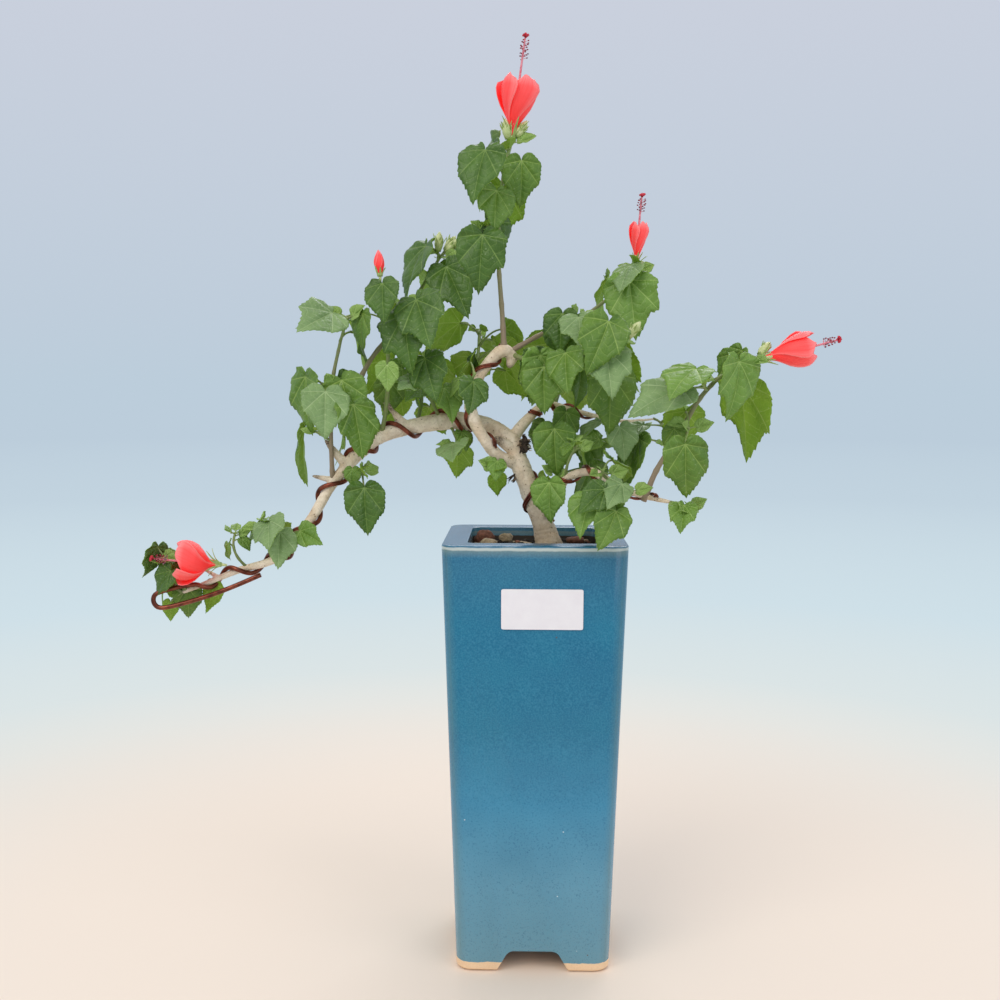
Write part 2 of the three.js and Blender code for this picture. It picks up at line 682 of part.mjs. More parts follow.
// The stem of a shoot with its flower and buds, cut clear of the bark that it stands on
function stemSolid(shoot) {
  const curve = shootCurve(shoot);
  const steps = 6;
  const points = Array.from({ length: steps + 1 }, (_, k) => curve.getPoint(k / steps));
  const radii = points.map((_, k) => THREE.MathUtils.lerp(shoot.stem[0], shoot.stem[1], k / steps));
  const parts = [tube(points, radii, twigSides)];
  if (shoot.flower) {
    const tip = vector(shoot.tip);
    const start = shoot.flower.at ? vector(shoot.flower.at) : tip;
    if (shoot.flower.at) {
      const mid = start.clone().lerp(tip, 0.5).addScaledVector(up, 4);
      parts.push(tube([tip, mid, start], [0.8, 0.8, 1.2], twigSides));
    }
    parts.push(flowerSolid(start, shoot.flower));
  }
  parts.push(...budSolids(shoot, curve));
  return parts.reduce((joined, part) => joined.add(part)).subtract(roomOfLimb[shoot.on]);
}

// One mass of leaves: each leaf stays at the first try that keeps clear of all other solids,
// and that crosses no leaf of its own mass
function foliage(name, shoot, others) {
  const own = [];
  let mass = stemSolid(shoot);
  for (const options of leafPlaces(shoot, shootCurve(shoot))) {
    const place = options.find((option) => {
      const crossing = sharedVolume(leafSolid(option), own);
      return crossing < mostCrossing && sharedVolume(leafSolid(option, 1.03, 1), others) === 0;
    });
    if (place) {
      own.push(occupied(name, leafSolid(place)));
      mass = mass.add(leafSolid(place));
    }
  }
  return mainBody(mass.asOriginal().simplify(0.2));
}

// A square outline with rounded corners, at a height
function squareRing(width, corner, z) {
  const points = [];
  const inner = width / 2 - corner;
  const centres = [[inner, inner], [-inner, inner], [-inner, -inner], [inner, -inner]];
  centres.forEach(([x, y], quarter) => {
    for (let k = 0; k <= pot.cornerSteps; k++) {
      const angle = (Math.PI / 2) * (quarter + k / pot.cornerSteps);
      points.push(new THREE.Vector3(x + corner * Math.cos(angle), y + corner * Math.sin(angle), z));
    }
  });
  return points;
}

function outerWidth(z) {
  return THREE.MathUtils.lerp(pot.baseWidth, pot.rimWidth, z / pot.height);
}

function mouthWidth(z) {
  const mouth = pot.rimWidth - 2 * pot.lipWidth;
  return THREE.MathUtils.mapLinear(z, pot.floorTop, pot.height, pot.floorWidth, mouth);
}

// The notch between two feet, running right under the pot along one direction
function footNotch(turned) {
  const { footCutBottom, footCutTop, footCutHeight, footCutRound } = pot;
  const shape = new THREE.Shape();
  shape.moveTo(-footCutBottom / 2, -1);
  shape.lineTo(footCutBottom / 2, -1);
  shape.lineTo(footCutTop / 2 + 1, footCutHeight - footCutRound);
  shape.quadraticCurveTo(footCutTop / 2, footCutHeight, footCutTop / 2 - footCutRound, footCutHeight);
  shape.lineTo(-footCutTop / 2 + footCutRound, footCutHeight);
  shape.quadraticCurveTo(-footCutTop / 2, footCutHeight, -footCutTop / 2 - 1, footCutHeight - footCutRound);
  const depth = pot.rimWidth + 10;
  const geometry = new THREE.ExtrudeGeometry(shape, { depth, bevelEnabled: false, curveSegments: 3 });
  geometry.translate(0, 0, -depth / 2).rotateX(Math.PI / 2);
  if (turned) {
    geometry.rotateZ(Math.PI / 2);
  }
  return solid(geometry);
}

function potSolid() {
  const { height, rimCorner, baseCorner, footChamfer, floorTop, floorWidth } = pot;
  const { lipRound, lipWidth, mouthCorner } = pot;
  const rim = outerWidth(height);
  const rings = [
    squareRing(pot.baseWidth - 2 * footChamfer, baseCorner, 0),
    squareRing(outerWidth(footChamfer), baseCorner, footChamfer),
    squareRing(outerWidth(height - lipRound), rimCorner, height - lipRound),
    squareRing(rim - 0.6 * lipRound, rimCorner, height - 0.3 * lipRound),
    squareRing(rim - 2 * lipRound, rimCorner - 1, height),
    squareRing(rim - 2 * lipWidth + 2 * lipRound, mouthCorner + 1, height - 0.2),
    squareRing(rim - 2 * lipWidth, mouthCorner, height - lipRound),
    squareRing(floorWidth, mouthCorner, floorTop),
  ];
  const drain = new THREE.CylinderGeometry(pot.drainRadius, pot.drainRadius, 60, 16).rotateX(Math.PI / 2);
  return solid(loft(rings)).subtract(footNotch(false)).subtract(footNotch(true)).subtract(solid(drain));
}

function soilSolid() {
  const low = pot.floorTop + gap;
  const edge = soil.top - soil.edgeDrop;
  const width = (z) => mouthWidth(z) - 2 * gap - 0.4;
  return solid(loft([
    squareRing(width(low), pot.mouthCorner, low),
    squareRing(width(edge), pot.mouthCorner, edge),
    squareRing(width(edge) - 2 * soil.edgeWidth, pot.mouthCorner, soil.top),
  ]));
}

function stoneSolid([x, y, long, wide, high], k) {
  const geometry = new THREE.IcosahedronGeometry(1, 0);
  geometry.scale(long / 2, wide / 2, high / 2).rotateZ(1.3 * k);
  geometry.translate(x, y, soil.top + high / 2 + gap);
  return solid(geometry);
}

function labelSolid() {
  const { width, height, corner, thick } = label;
  const [x, z] = [width / 2, height / 2];
  const shape = new THREE.Shape();
  shape.moveTo(-x + corner, -z);
  shape.lineTo(x - corner, -z);
  shape.quadraticCurveTo(x, -z, x, -z + corner);
  shape.lineTo(x, z - corner);
  shape.quadraticCurveTo(x, z, x - corner, z);
  shape.lineTo(-x + corner, z);
  shape.quadraticCurveTo(-x, z, -x, z - corner);
  shape.lineTo(-x, -z + corner);
  shape.quadraticCurveTo(-x, -z, -x + corner, -z);
  const geometry = new THREE.ExtrudeGeometry(shape, { depth: thick, bevelEnabled: false, curveSegments: 3 });
  const lean = Math.atan((pot.rimWidth - pot.baseWidth) / 2 / pot.height);
  geometry.rotateX(Math.PI / 2 + lean);
  geometry.translate(label.x, -outerWidth(label.z) / 2 - gap, label.z);
  return solid(geometry);
}

const finish = {
  glaze: { color: 0x3f7fa6, roughness: 0.25, metalness: 0 },
  soil: { color: 0x3a2f28, roughness: 1, metalness: 0 },
  stone: { color: 0x9a5f4c, roughness: 0.9, metalness: 0 },
  bark: { color: 0xd0bba4, roughness: 0.85, metalness: 0 },
  stem: { color: 0x6f7a4a, roughness: 0.7, metalness: 0 },
  wire: { color: 0x7a3f33, roughness: 0.35, metalness: 0.8 },
  leaf: { color: 0x4f7f3a, roughness: 0.6, metalness: 0 },
  paper: { color: 0xe9e1e3, roughness: 0.7, metalness: 0 },
};

const plant = new THREE.Group();

function place(name, body, look) {
  const mesh = new THREE.Mesh(toGeometry(body), new THREE.MeshStandardMaterial(finish[look]));
  mesh.name = name;
  plant.add(mesh);
}

// Limbs are cut clear of each other where they meet, and the trunk flat at the soil
const room = (name, from, to) => barkSolid(name, from, to, gap);
const ground = new THREE.BoxGeometry(40, 40, 20).translate(8, 0, soil.top + gap - 10);
const trunk = barkSolid('trunk').subtract(solid(ground));
const leftInner = barkSolid('left', 0, leftParting).subtract(room('trunk'));
const leftOuter = barkSolid('left', leftParting + partingGap, 1);
const crown = barkSolid('crown').subtract(room('trunk')).subtract(room('left', 0, leftParting));
const rightUpper = barkSolid('rightUpper').subtract(room('trunk')).subtract(room('left', 0, leftParting))
  .subtract(room('crown'));
const rightLower = barkSolid('rightLower').subtract(room('trunk'));
const youngStem = (name, parent) => limbSolid(name).subtract(room(parent));
const roomOfLimb = Object.fromEntries(Object.keys(limbs).map((name) => [name, room(name, 0, 1)]));

const bodies = [
  ['pot', potSolid(), 'glaze'],
  ['soil', soilSolid(), 'soil'],
  ['label_plate', labelSolid(), 'paper'],
  ...stones.map((stone, k) => [`stone_${k + 1}`, stoneSolid(stone, k), 'stone']),
  ['trunk', mainBody(trunk), 'bark'],
  ['bough_left_inner', mainBody(leftInner), 'bark'],
  ['bough_left_outer', mainBody(leftOuter), 'bark'],
  ['bough_crown', mainBody(crown), 'bark'],
  ['bough_right_upper', mainBody(rightUpper), 'bark'],
  ['bough_right_lower', mainBody(rightLower), 'bark'],
  ['stem_top', mainBody(youngStem('top', 'crown')), 'stem'],
  ['stem_left_upright', mainBody(youngStem('leftUpright', 'left')), 'stem'],
  ['stem_left_crown', mainBody(youngStem('leftCrown', 'left')), 'stem'],
  ['stem_right_top', mainBody(youngStem('rightTop', 'crown')), 'stem'],
  ['stem_far_right', mainBody(youngStem('farRight', 'rightLower')), 'stem'],
  ...wires.map((wire) => [wire.name, wireSolid(wire), 'wire']),
];

const taken = [];
for (const [name, body, look] of bodies) {
  place(name, body, look);
  taken.push(occupied(name, body));
}
const stems = Object.entries(shoots).map(([name, shoot]) => occupied(name, stemSolid(shoot)));
for (const [name, shoot] of Object.entries(shoots)) {
  const mass = foliage(name, shoot, [...taken, ...stems.filter((stem) => stem.name !== name)]);
  place(name, mass, 'leaf');
  taken.push(occupied(name, mass));
}

// The origin is the bottom centre of everything together
const whole = new THREE.Box3().setFromObject(plant);
const middle = whole.getCenter(new THREE.Vector3());
plant.position.set(-middle.x, -middle.y, -whole.min.z);

export default plant;
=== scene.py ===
from functools import partial
import math

import bmesh
import bpy
import numpy as np
from mathutils import Matrix, Vector, kdtree, noise


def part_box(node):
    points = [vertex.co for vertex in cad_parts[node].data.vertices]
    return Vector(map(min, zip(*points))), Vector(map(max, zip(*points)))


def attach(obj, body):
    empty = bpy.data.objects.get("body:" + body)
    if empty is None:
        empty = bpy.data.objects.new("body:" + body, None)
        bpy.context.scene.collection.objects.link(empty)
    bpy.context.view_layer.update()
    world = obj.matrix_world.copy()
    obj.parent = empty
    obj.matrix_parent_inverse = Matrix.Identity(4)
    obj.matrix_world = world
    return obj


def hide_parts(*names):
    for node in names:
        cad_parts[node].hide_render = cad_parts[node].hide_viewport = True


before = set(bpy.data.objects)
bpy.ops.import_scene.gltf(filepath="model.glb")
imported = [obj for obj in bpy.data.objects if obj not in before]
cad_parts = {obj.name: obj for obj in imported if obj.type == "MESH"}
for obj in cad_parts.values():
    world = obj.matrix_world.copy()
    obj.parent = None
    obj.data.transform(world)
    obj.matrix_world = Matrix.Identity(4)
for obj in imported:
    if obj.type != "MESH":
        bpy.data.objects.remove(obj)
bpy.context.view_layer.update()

# A turk's cap mallow bonsai in its tall glazed pot. Lengths are in millimetres from the centre of
# the pot's foot, +X to the viewer's right, -Y towards the viewer, and turn to metres in toRow.
potLow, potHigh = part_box("pot")
potCentre = np.array([(potLow.x + potHigh.x) / 2, (potLow.y + potHigh.y) / 2, 0.0])
metre = 0.001
up = np.array([0.0, 0.0, 1.0])
sideways = np.array([1.0, 0.0, 0.0])
goldenTurn = 137.5


def toRow(points):
    return np.asarray(points, float) * metre + potCentre


def unit(vector):
    vector = np.asarray(vector, float)
    return vector / np.linalg.norm(vector, axis=-1, keepdims=True)


cameraPlace = {"place": (-5.7, -626.8, 296.0), "yaw": 0.0197, "pitch": 0.0951, "roll": 0.0033,
               "lens": 43.51, "sensor": 36.0, "nearest": 0.01}


def makeCamera(settings):
    data = bpy.data.cameras.new("photo_camera")
    data.lens = settings["lens"]
    data.sensor_width = settings["sensor"]
    data.clip_start = settings["nearest"]
    camera = bpy.data.objects.new("photo_camera", data)
    turn = (Matrix.Rotation(settings["yaw"], 4, "Z")
            @ Matrix.Rotation(math.pi / 2 - settings["pitch"], 4, "X")
            @ Matrix.Rotation(settings["roll"], 4, "Z"))
    camera.matrix_world = Matrix.Translation(Vector(toRow(settings["place"]))) @ turn
    bpy.context.scene.collection.objects.link(camera)
    bpy.context.scene.camera = camera


makeCamera(cameraPlace)
print("camera placed")


# Materials: sizes in their dictionaries are in millimetres, and colours are hex sRGB
def linear(hexColour):
    parts = [int(hexColour[k:k + 2], 16) / 255 for k in (1, 3, 5)]
    return tuple(c / 12.92 if c <= 0.04045 else ((c + 0.055) / 1.055) ** 2.4 for c in parts) + (1.0,)


def fillSockets(tree, pairs):
    # a socket takes a link from another node, a colour or a plain value
    for socket, value in pairs:
        if isinstance(value, bpy.types.NodeSocket):
            tree.links.new(value, socket)
        else:
            socket.default_value = linear(value) if isinstance(value, str) else value


def addNode(tree, kind, *values, out=0, stops=(), **named):
    # one shader node: a kind with its operation, values for its inputs in their order, inputs by name
    # with a capital, settings by name without one, and the stops of a ramp
    kind, _, operation = kind.partition(" ")
    made = tree.nodes.new("ShaderNode" + kind)
    if operation:
        made.operation = operation
    for name, value in named.items():
        if name[0].islower():
            setattr(made, name, value)
    for k, (place, tone) in enumerate(stops):
        element = made.color_ramp.elements[k] if k < 2 else made.color_ramp.elements.new(place)
        element.position = place
        element.color = linear(tone) if isinstance(tone, str) else (tone, tone, tone, 1.0)
    fillSockets(tree, zip([socket for socket in made.inputs if socket.enabled], values))
    fillSockets(tree, [(made.inputs[name], value) for name, value in named.items() if name[0].isupper()])
    return made.outputs[out] if out else [socket for socket in made.outputs if socket.enabled][0]


def newMaterial(name):
    material = bpy.data.materials.new(name)
    material.use_nodes = True
    return material, partial(addNode, material.node_tree)


def finish(material, tone, layers, relief, **looks):
    # tones laid over the first one through their masks, relief as height, depth and strength, and
    # the shader's other inputs by name
    tree = material.node_tree
    for share, over in layers:
        tone = addNode(tree, "Mix", share, tone, over, data_type="RGBA")
    height, depth, strength = relief
    bump = addNode(tree, "Bump", Height=height, Distance=depth * metre, Strength=strength)
    shader = tree.nodes["Principled BSDF"]
    looks = {"Base_Color": tone, "Normal": bump} | looks
    fillSockets(tree, [(shader.inputs[name.replace("_", " ")], value) for name, value in looks.items()])
    return material


# Stoneware under a mottled blue glaze: deepest at two thirds of the height, thin and greyish on the
# edges where it runs off, with a cream line round the rim, a few pale and rusty specks, bare tan clay
# under the feet, painted lighter for light thrown up from below, and bare clay in the mouth painted dark
# as shade. A speck row is spacing, size and tone.
glazeLook = {
    "body": [(0.0, "#6c98a7"), (0.2, "#6097ae"), (0.4, "#3486a8"), (0.58, "#166f8c"), (0.82, "#166f8c"),
             (1.0, "#2f6a84")],
    "pale": "#4a93b0", "deep": "#0f5b80", "edge": "#5b8085", "rim": "#7d8f88", "cream": "#cfd2c6",
    "clayLitFromBelow": "#fbdcb6", "clayShade": "#e8c39a", "inside": "#3d3128",
    "specks": [(11, 0.4, "#c9dadd"), (17, 0.5, "#5b4a3a")],
    "mottle": 0.8, "cloud": 30, "wander": 6, "bareHeight": 4.4, "creamHeight": 1.5, "glazedMouth": 4.5,
}


def makeGlaze(look, sizes):
    material, add = newMaterial("glazed_stoneware")
    local = add("Mapping", add("TexCoord", out="Object"), Location=tuple(-potCentre / metre),
                Scale=(1 / metre,) * 3)
    x, y, z = [add("SeparateXYZ", local, out=axis) for axis in "XYZ"]
    mottle = add("TexNoise", local, Scale=1 / look["mottle"], Detail=2.0)
    cloud = add("TexNoise", local, Scale=1 / look["cloud"], Detail=3.0)
    wander = add("TexNoise", local, Scale=1 / look["wander"], Detail=4.0)
    wander = add("Math MULTIPLY_ADD", wander, 3.0, -1.5)
    # how far the place lies inside the nearest upright edge, inside the wall, and below the rim
    growth = (sizes["rim"] - sizes["base"]) / 2 / sizes["height"]
    half = add("Math MULTIPLY_ADD", z, growth, sizes["base"] / 2)
    wide, deep = add("Math ABSOLUTE", x), add("Math ABSOLUTE", y)
    inset = add("Math SUBTRACT", half, add("Math MINIMUM", wide, deep))
    outer = add("Math SUBTRACT", half, add("Math MAXIMUM", wide, deep))
    below = add("Math SUBTRACT", sizes["height"], z)
    below = add("Math MULTIPLY_ADD", wander, 0.3, below)
    rise = add("Math DIVIDE", z, sizes["height"])
    facing = add("SeparateXYZ", add("NewGeometry", out="True Normal"), out="Z")

    # the pooled glaze thins out towards the foot
    drift = add("ValToRGB", cloud, stops=[(0.35, 0.0), (0.7, 0.5)])
    drift = add("Math MULTIPLY", drift, add("Math MULTIPLY", rise, 1.6, use_clamp=True))
    fleck = add("ValToRGB", mottle, stops=[(0.42, 0.0), (0.75, 0.36)])
    shade = add("ValToRGB", mottle, stops=[(0.25, 0.5), (0.45, 0.0)])
    layers = [(drift, look["deep"]), (fleck, look["pale"]), (shade, look["deep"])]
    for spacing, size, tone in look["specks"]:
        dots = add("TexVoronoi", local, Scale=1 / spacing)
        dots = add("ValToRGB", dots, stops=[(size / spacing * 0.6, 0.8), (size / spacing, 0.0)])
        layers.append((dots, tone))
    edge = add("Math MULTIPLY_ADD", wander, 0.05, add("Math MULTIPLY", inset, 0.1))
    edge = add("ValToRGB", edge, stops=[(0.18, 0.6), (0.32, 0.22), (0.6, 0.0)])
    # the rim: greyish for a few millimetres, and the cream line itself
    grey = add("ValToRGB", add("Math MULTIPLY", below, 0.1), stops=[(0.16, 0.0), (0.24, 0.6), (0.6, 0.0)])
    line = add("Math ABSOLUTE", add("Math SUBTRACT", below, look["creamHeight"]))
    line = add("Math MULTIPLY_ADD", outer, 0.08, line)
    line = add("ValToRGB", line, stops=[(0.2, 0.78), (0.7, 0.55), (1.4, 0.0)])
    # painted shade: the up-facing flat of the rim is darkened to the deep tone to stand in for its dark
    # reflection, and it reflects less there
    flat = add("ValToRGB", facing, stops=[(0.8, 0.0), (0.97, 0.7)])
    bare = add("Math MULTIPLY_ADD", wander, 0.7, z)
    bare = add("Math LESS_THAN", bare, look["bareHeight"])
    bare = add("Math MAXIMUM", bare, add("Math LESS_THAN", facing, -0.7))
    # painted light: both tones of the bare clay are lighter than the clay itself, for light thrown up onto
    # the feet from below
    clayLitFromBelow = add("Mix", mottle, look["clayLitFromBelow"], look["clayShade"], data_type="RGBA")
    # painted shade: the bare clay inside the mouth, below the glazed band, is painted dark for the shade
    # within the pot
    mouthShade = add("Math GREATER_THAN", outer, sizes["lip"] - 1.5)
    mouthShade = add("Math MULTIPLY", mouthShade, add("Math GREATER_THAN", below, look["glazedMouth"]))
    layers += [(edge, look["edge"]), (grey, look["rim"]), (line, look["cream"]), (flat, look["deep"]),
               (bare, clayLitFromBelow), (mouthShade, look["inside"])]
    gloss = add("Math MULTIPLY_ADD", mottle, 0.12, 0.16)
    gloss = add("Math MAXIMUM", gloss, add("Math MAXIMUM", bare, mouthShade))
    swell = add("Math MULTIPLY_ADD", cloud, 6.0, mottle)
    return finish(material, add("ValToRGB", rise, stops=look["body"]), layers, (swell, 0.12, 0.35),
                  Roughness=add("Math MINIMUM", gloss, 0.85), IOR=1.48, Coat_Weight=0.1, Coat_Roughness=0.08,
                  Specular_IOR_Level=add("Math MULTIPLY_ADD", flat, -0.42, 0.5))


# Bark of an old mallow stem: thin, smooth and pale, faintly ringed, with corky dots and grey
# stains, browner towards the soil, and dark and stringy where the wood is dead
barkLook = {"pale": "#f2e0c8", "main": "#e2caac", "shade": "#a88c6c", "stain": "#bcaa90", "dead": "#4a3a30",
            "strand": "#a8947c", "foot": "#75603f", "cork": "#84674a", "dot": 2.7, "patch": 9, "grain": 0.8}
# the hollow mark is painted shade in the creases and hollows of the bark
barkMarks = ("hollow", "dead", "low")  # attributes of its mesh: hollows, dead wood and what is low down


def makeBark(look):
    material, add = newMaterial("mallow_bark")
    place = add("TexCoord", out="Object")
    patch = add("TexNoise", place, Scale=1 / (look["patch"] * metre), Detail=4.0)
    grain = add("TexNoise", place, Scale=1 / (look["grain"] * metre), Detail=3.0)
    dots = add("TexVoronoi", place, Scale=1 / (look["dot"] * metre))
    hollow, dead, low = [add("Attribute", out="Fac", attribute_name=mark) for mark in barkMarks]
    skin = add("ValToRGB", patch, stops=[(0.32, look["main"]), (0.55, look["pale"])])
    stain = add("ValToRGB", patch, stops=[(0.62, 0.0), (0.74, 0.5)])
    fleck = add("ValToRGB", grain, stops=[(0.32, 0.35), (0.44, 0.0)])
    cork = add("ValToRGB", dots, stops=[(0.1, 0.8), (0.17, 0.0)])
    rot = add("ValToRGB", grain, stops=[(0.42, look["dead"]), (0.62, look["strand"])])
    # the hollow layer is painted shade in the creases and hollows
    layers = [(stain, look["stain"]), (fleck, look["shade"]), (cork, look["cork"]), (hollow, look["shade"]),
              (low, look["foot"]), (dead, rot)]
    height = add("Math MULTIPLY_ADD", cork, 0.8, grain)
    return finish(material, skin, layers, (height, 0.2, 0.45), Roughness=0.75, IOR=1.45)


# Young shoots: smooth green skin that turns brown and corky with age
stemLook = {"ages": [(0.0, "#93a862"), (0.4, "#77894b"), (0.85, "#94806a")], "cork": "#94806a", "dot": 1.4}


def makeStem(look):
    material, add = newMaterial("young_stem")
    skin = add("ValToRGB", add("Attribute", out="Fac", attribute_name="age"), stops=look["ages"])
    grain = add("TexNoise", add("TexCoord", out="Object"), Scale=1 / (look["dot"] * metre), Detail=3.0)
    fleck = add("ValToRGB", grain, stops=[(0.35, 0.45), (0.5, 0.0)])
    return finish(material, skin, [(fleck, look["cork"])], (grain, 0.15, 0.4), Roughness=0.5, IOR=1.42)


# Living leaves: satin upper side with fine sunk veins, puckered between them, and a lighter, duller
# underside, whose bright yellow-green also paints the light shining through backlit leaves. A row holds
# the tones of blade, hollows and veins, the roughness, and a faint glow for the light that comes through.
# The greens are dealt out leaf by leaf.
leafLooks = {
    "leaf_mid_green": ("#65852e", "#4c6f1f", "#97ae58", 0.42, 0.0),
    "leaf_dark_green": ("#4d6f24", "#3a5918", "#7f984a", 0.4, 0.0),
    "leaf_fresh_green": ("#73953d", "#5b7e2b", "#a1b966", 0.44, 0.03),
    "leaf_young_green": ("#92af58", "#7a9b46", "#b6c984", 0.46, 0.04),
    # paler in itself, and brighter yellow-green still as painted light shining through backlit leaves
    "leaf_underside": ("#7fa02c", "#6b8f21", "#a7bd62", 0.6, 0.1),
    # pale grey-green, partly the bloom on the leaves and partly painted sheen of the sky, dealt mostly to
    # leaves that look up
    "leaf_green_with_painted_sheen": ("#849f63", "#6c8850", "#a8bc86", 0.5, 0.0),
}
midGreen, darkGreen, freshGreen, youngGreen, underside, sheenPaintedGreen = range(len(leafLooks))
# angle of each main vein from the midrib, and, as shares of the blade, the width of a main vein,
# the spacing and width of side veins and how far they slant; specks of lime left by watering
veins = {"angles": (0.0, 36.0, 78.0), "width": 0.0055, "branch": 0.125, "branchWidth": 0.0035, "slant": 0.7,
         "net": 24, "cloud": 11, "speckSpacing": 2.6, "speckSize": 0.17, "speck": "#b6c59a"}


def makeLeaf(name, looks, form):
    blade, hollow, vein, shine, glow = looks
    material, add = newMaterial(name)
    place = add("TexCoord", out="Object")
    chart = add("UVMap", uv_map="leafChart")
    across, along = [add("SeparateXYZ", chart, out=axis) for axis in "XY"]
    side = add("Math ABSOLUTE", across)
    # distance from the nearest main vein, which all fan out from the stalk
    nearest = None
    for turn in np.radians(form["angles"]):
        off = add("Math MULTIPLY", along, -math.sin(turn))
        off = add("Math ABSOLUTE", add("Math MULTIPLY_ADD", side, math.cos(turn), off))
        nearest = off if nearest is None else add("Math MINIMUM", nearest, off)
    out = add("VectorMath LENGTH", chart)
    sway = add("Math SUBTRACT", add("TexNoise", chart, Scale=4.0, Detail=2.0), 0.5)
    # a vein thins towards the edge of the blade, and wanders a little
    main = add("Math ABSOLUTE", add("Math MULTIPLY_ADD", sway, 0.02, nearest))
    main = add("Math MULTIPLY", main, add("Math MULTIPLY_ADD", out, 0.9, 0.7))
    main = add("ValToRGB", main, stops=[(form["width"] * 0.4, 1.0), (form["width"] * 1.7, 0.0)])
    # side veins leave the main ones slantwise and bend towards the tip
    slant = add("Math MULTIPLY_ADD", nearest, -form["slant"], out)
    slant = add("Math MULTIPLY_ADD", sway, 0.12, slant)
    comb = add("Math PINGPONG", slant, form["branch"] / 2)
    thin = form["branchWidth"]
    branch = add("ValToRGB", comb, stops=[(thin * 0.4, 0.55), (thin * 1.9, 0.0)])
    net = add("TexVoronoi", chart, Scale=form["net"], feature="DISTANCE_TO_EDGE")
    lace = add("ValToRGB", net, stops=[(0.01, 0.16), (0.08, 0.0)])
    lines = add("Math MAXIMUM", add("Math MAXIMUM", main, branch), lace)
    cloud = add("TexNoise", place, Scale=1 / (form["cloud"] * metre), Detail=4.0)
    drift = add("ValToRGB", cloud, stops=[(0.3, 0.0), (0.7, 1.0)])
    dots = add("TexVoronoi", place, Scale=1 / (form["speckSpacing"] * metre))
    specks = add("ValToRGB", dots, stops=[(form["speckSize"] / 2, 0.26), (form["speckSize"], 0.0)])
    tone = add("Mix", drift, hollow, blade, data_type="RGBA")
    # the blade swells between its veins
    swell = [(0.0, 0.0), (form["branch"] * 0.22, 0.75), (form["branch"] / 2, 1.0)]
    swell = add("ValToRGB", comb, stops=swell)
    inward = add("Math MULTIPLY", nearest, 14.0, use_clamp=True)
    swell = add("Math MULTIPLY", swell, inward)
    swell = add("Math MULTIPLY_ADD", inward, 0.8, swell)
    swell = add("Math ADD", swell, add("ValToRGB", net, stops=[(0.0, 0.0), (0.3, 0.3)]))
    return finish(material, tone, [(add("Math MULTIPLY", lines, 0.75), vein), (specks, form["speck"])],
                  (swell, 0.34, 0.6), Roughness=add("Math MULTIPLY_ADD", cloud, 0.2, shine - 0.1), IOR=1.42,
                  Emission_Color=blade, Emission_Strength=glow)


# Petals: thin, waxy coral red, deeper at the foot, with fine lines along them and a faint painted glow that
# lifts the red above what the lamps give
petalLook = {"body": [(0.0, "#ea2325"), (0.3, "#ff3d3a"), (0.8, "#ff5a58"), (1.0, "#ff9695")],
             "edge": "#ff9695", "line": "#ea2325", "glow": "#ff2018", "paintedGlowStrength": 0.13}


def makePetal(look):
    material, add = newMaterial("petal")
    chart = add("UVMap", uv_map="leafChart")
    across, along = [add("SeparateXYZ", chart, out=axis) for axis in "XY"]
    thin = add("ValToRGB", add("Math ABSOLUTE", across), stops=[(0.3, 0.0), (0.5, 0.6)])
    stripe = add("TexNoise", add("Mapping", chart, Scale=(26, 1.6, 1)), Scale=1.0, Detail=3.0)
    share = add("ValToRGB", stripe, stops=[(0.38, 0.3), (0.6, 0.0)])
    layers = [(thin, look["edge"]), (share, look["line"])]
    return finish(material, add("ValToRGB", along, stops=look["body"]), layers, (stripe, 0.12, 0.3),
                  Roughness=0.5, IOR=1.42, Emission_Color=look["glow"],
                  Emission_Strength=look["paintedGlowStrength"])


# Materials of two tones in blotches: light, dark, blotch size, roughness, depth of the relief and
# metal share
plainLooks = {
    # weathered dead wood and flakes of dry bark
    "dead_bark": ("#4e4033", "#261c15", 1.2, 0.95, 0.4),
    "dry_bark": ("#9a8066", "#6b5440", 1.2, 0.9, 0.4),
    # fleshy pale green sepals and bracts
    "calyx": ("#d3d6a0", "#b5c07a", 3, 0.5, 0.1),
    "bract": ("#b3c077", "#8fa653", 3, 0.5, 0.1),
    # parts of the flower's column
    "flower_column": ("#e79aa2", "#cf5f70", 2, 0.45, 0.05),
    "anther": ("#a3273b", "#731c2c", 1, 0.7, 0.1),
    "spent_anther": ("#8d6672", "#6e4956", 1, 0.75, 0.1),
    "stigma": ("#d2283c", "#a81a2d", 1, 0.6, 0.1),
    # brown anodised aluminium wire, coppery where it catches the light
    "anodised_wire": ("#94503c", "#562c22", 5, 0.33, 0.02, 0.8),
    # smooth paper of a blank label
    "label_paper": ("#ece7e8", "#e8e2e4", 8, 0.62, 0.005),
    # damp mineral potting mix, lava rock, pumice and chips of bark
    "moist_soil": ("#352a21", "#17110d", 2, 0.95, 0.5),
    "lava_rock": ("#8a5843", "#583628", 1.6, 0.9, 0.5),
    "pumice": ("#b3a082", "#7a684f", 1.2, 0.9, 0.4),
    "bark_chip": ("#c9b79b", "#8f7a5f", 2, 0.85, 0.3),
}


def makePlain(name, light, dark, size, roughness, depth, metallic=0.0):
    material, add = newMaterial(name)
    place = add("TexCoord", out="Object")
    blotch = add("TexNoise", place, Scale=1 / (size * metre), Detail=4.0, Roughness=0.65)
    share = add("ValToRGB", blotch, stops=[(0.35, 0.0), (0.65, 1.0)])
    return finish(material, dark, [(share, light)], (blotch, depth, 0.6), Roughness=roughness,
                  Metallic=metallic)


leafMaterials = [makeLeaf(name, looks, veins) for name, looks in leafLooks.items()]
materials = {name: makePlain(name, *looks) for name, looks in plainLooks.items()}
materials |= {"bark": makeBark(barkLook), "stem": makeStem(stemLook), "petal": makePetal(petalLook)}
print("materials made")


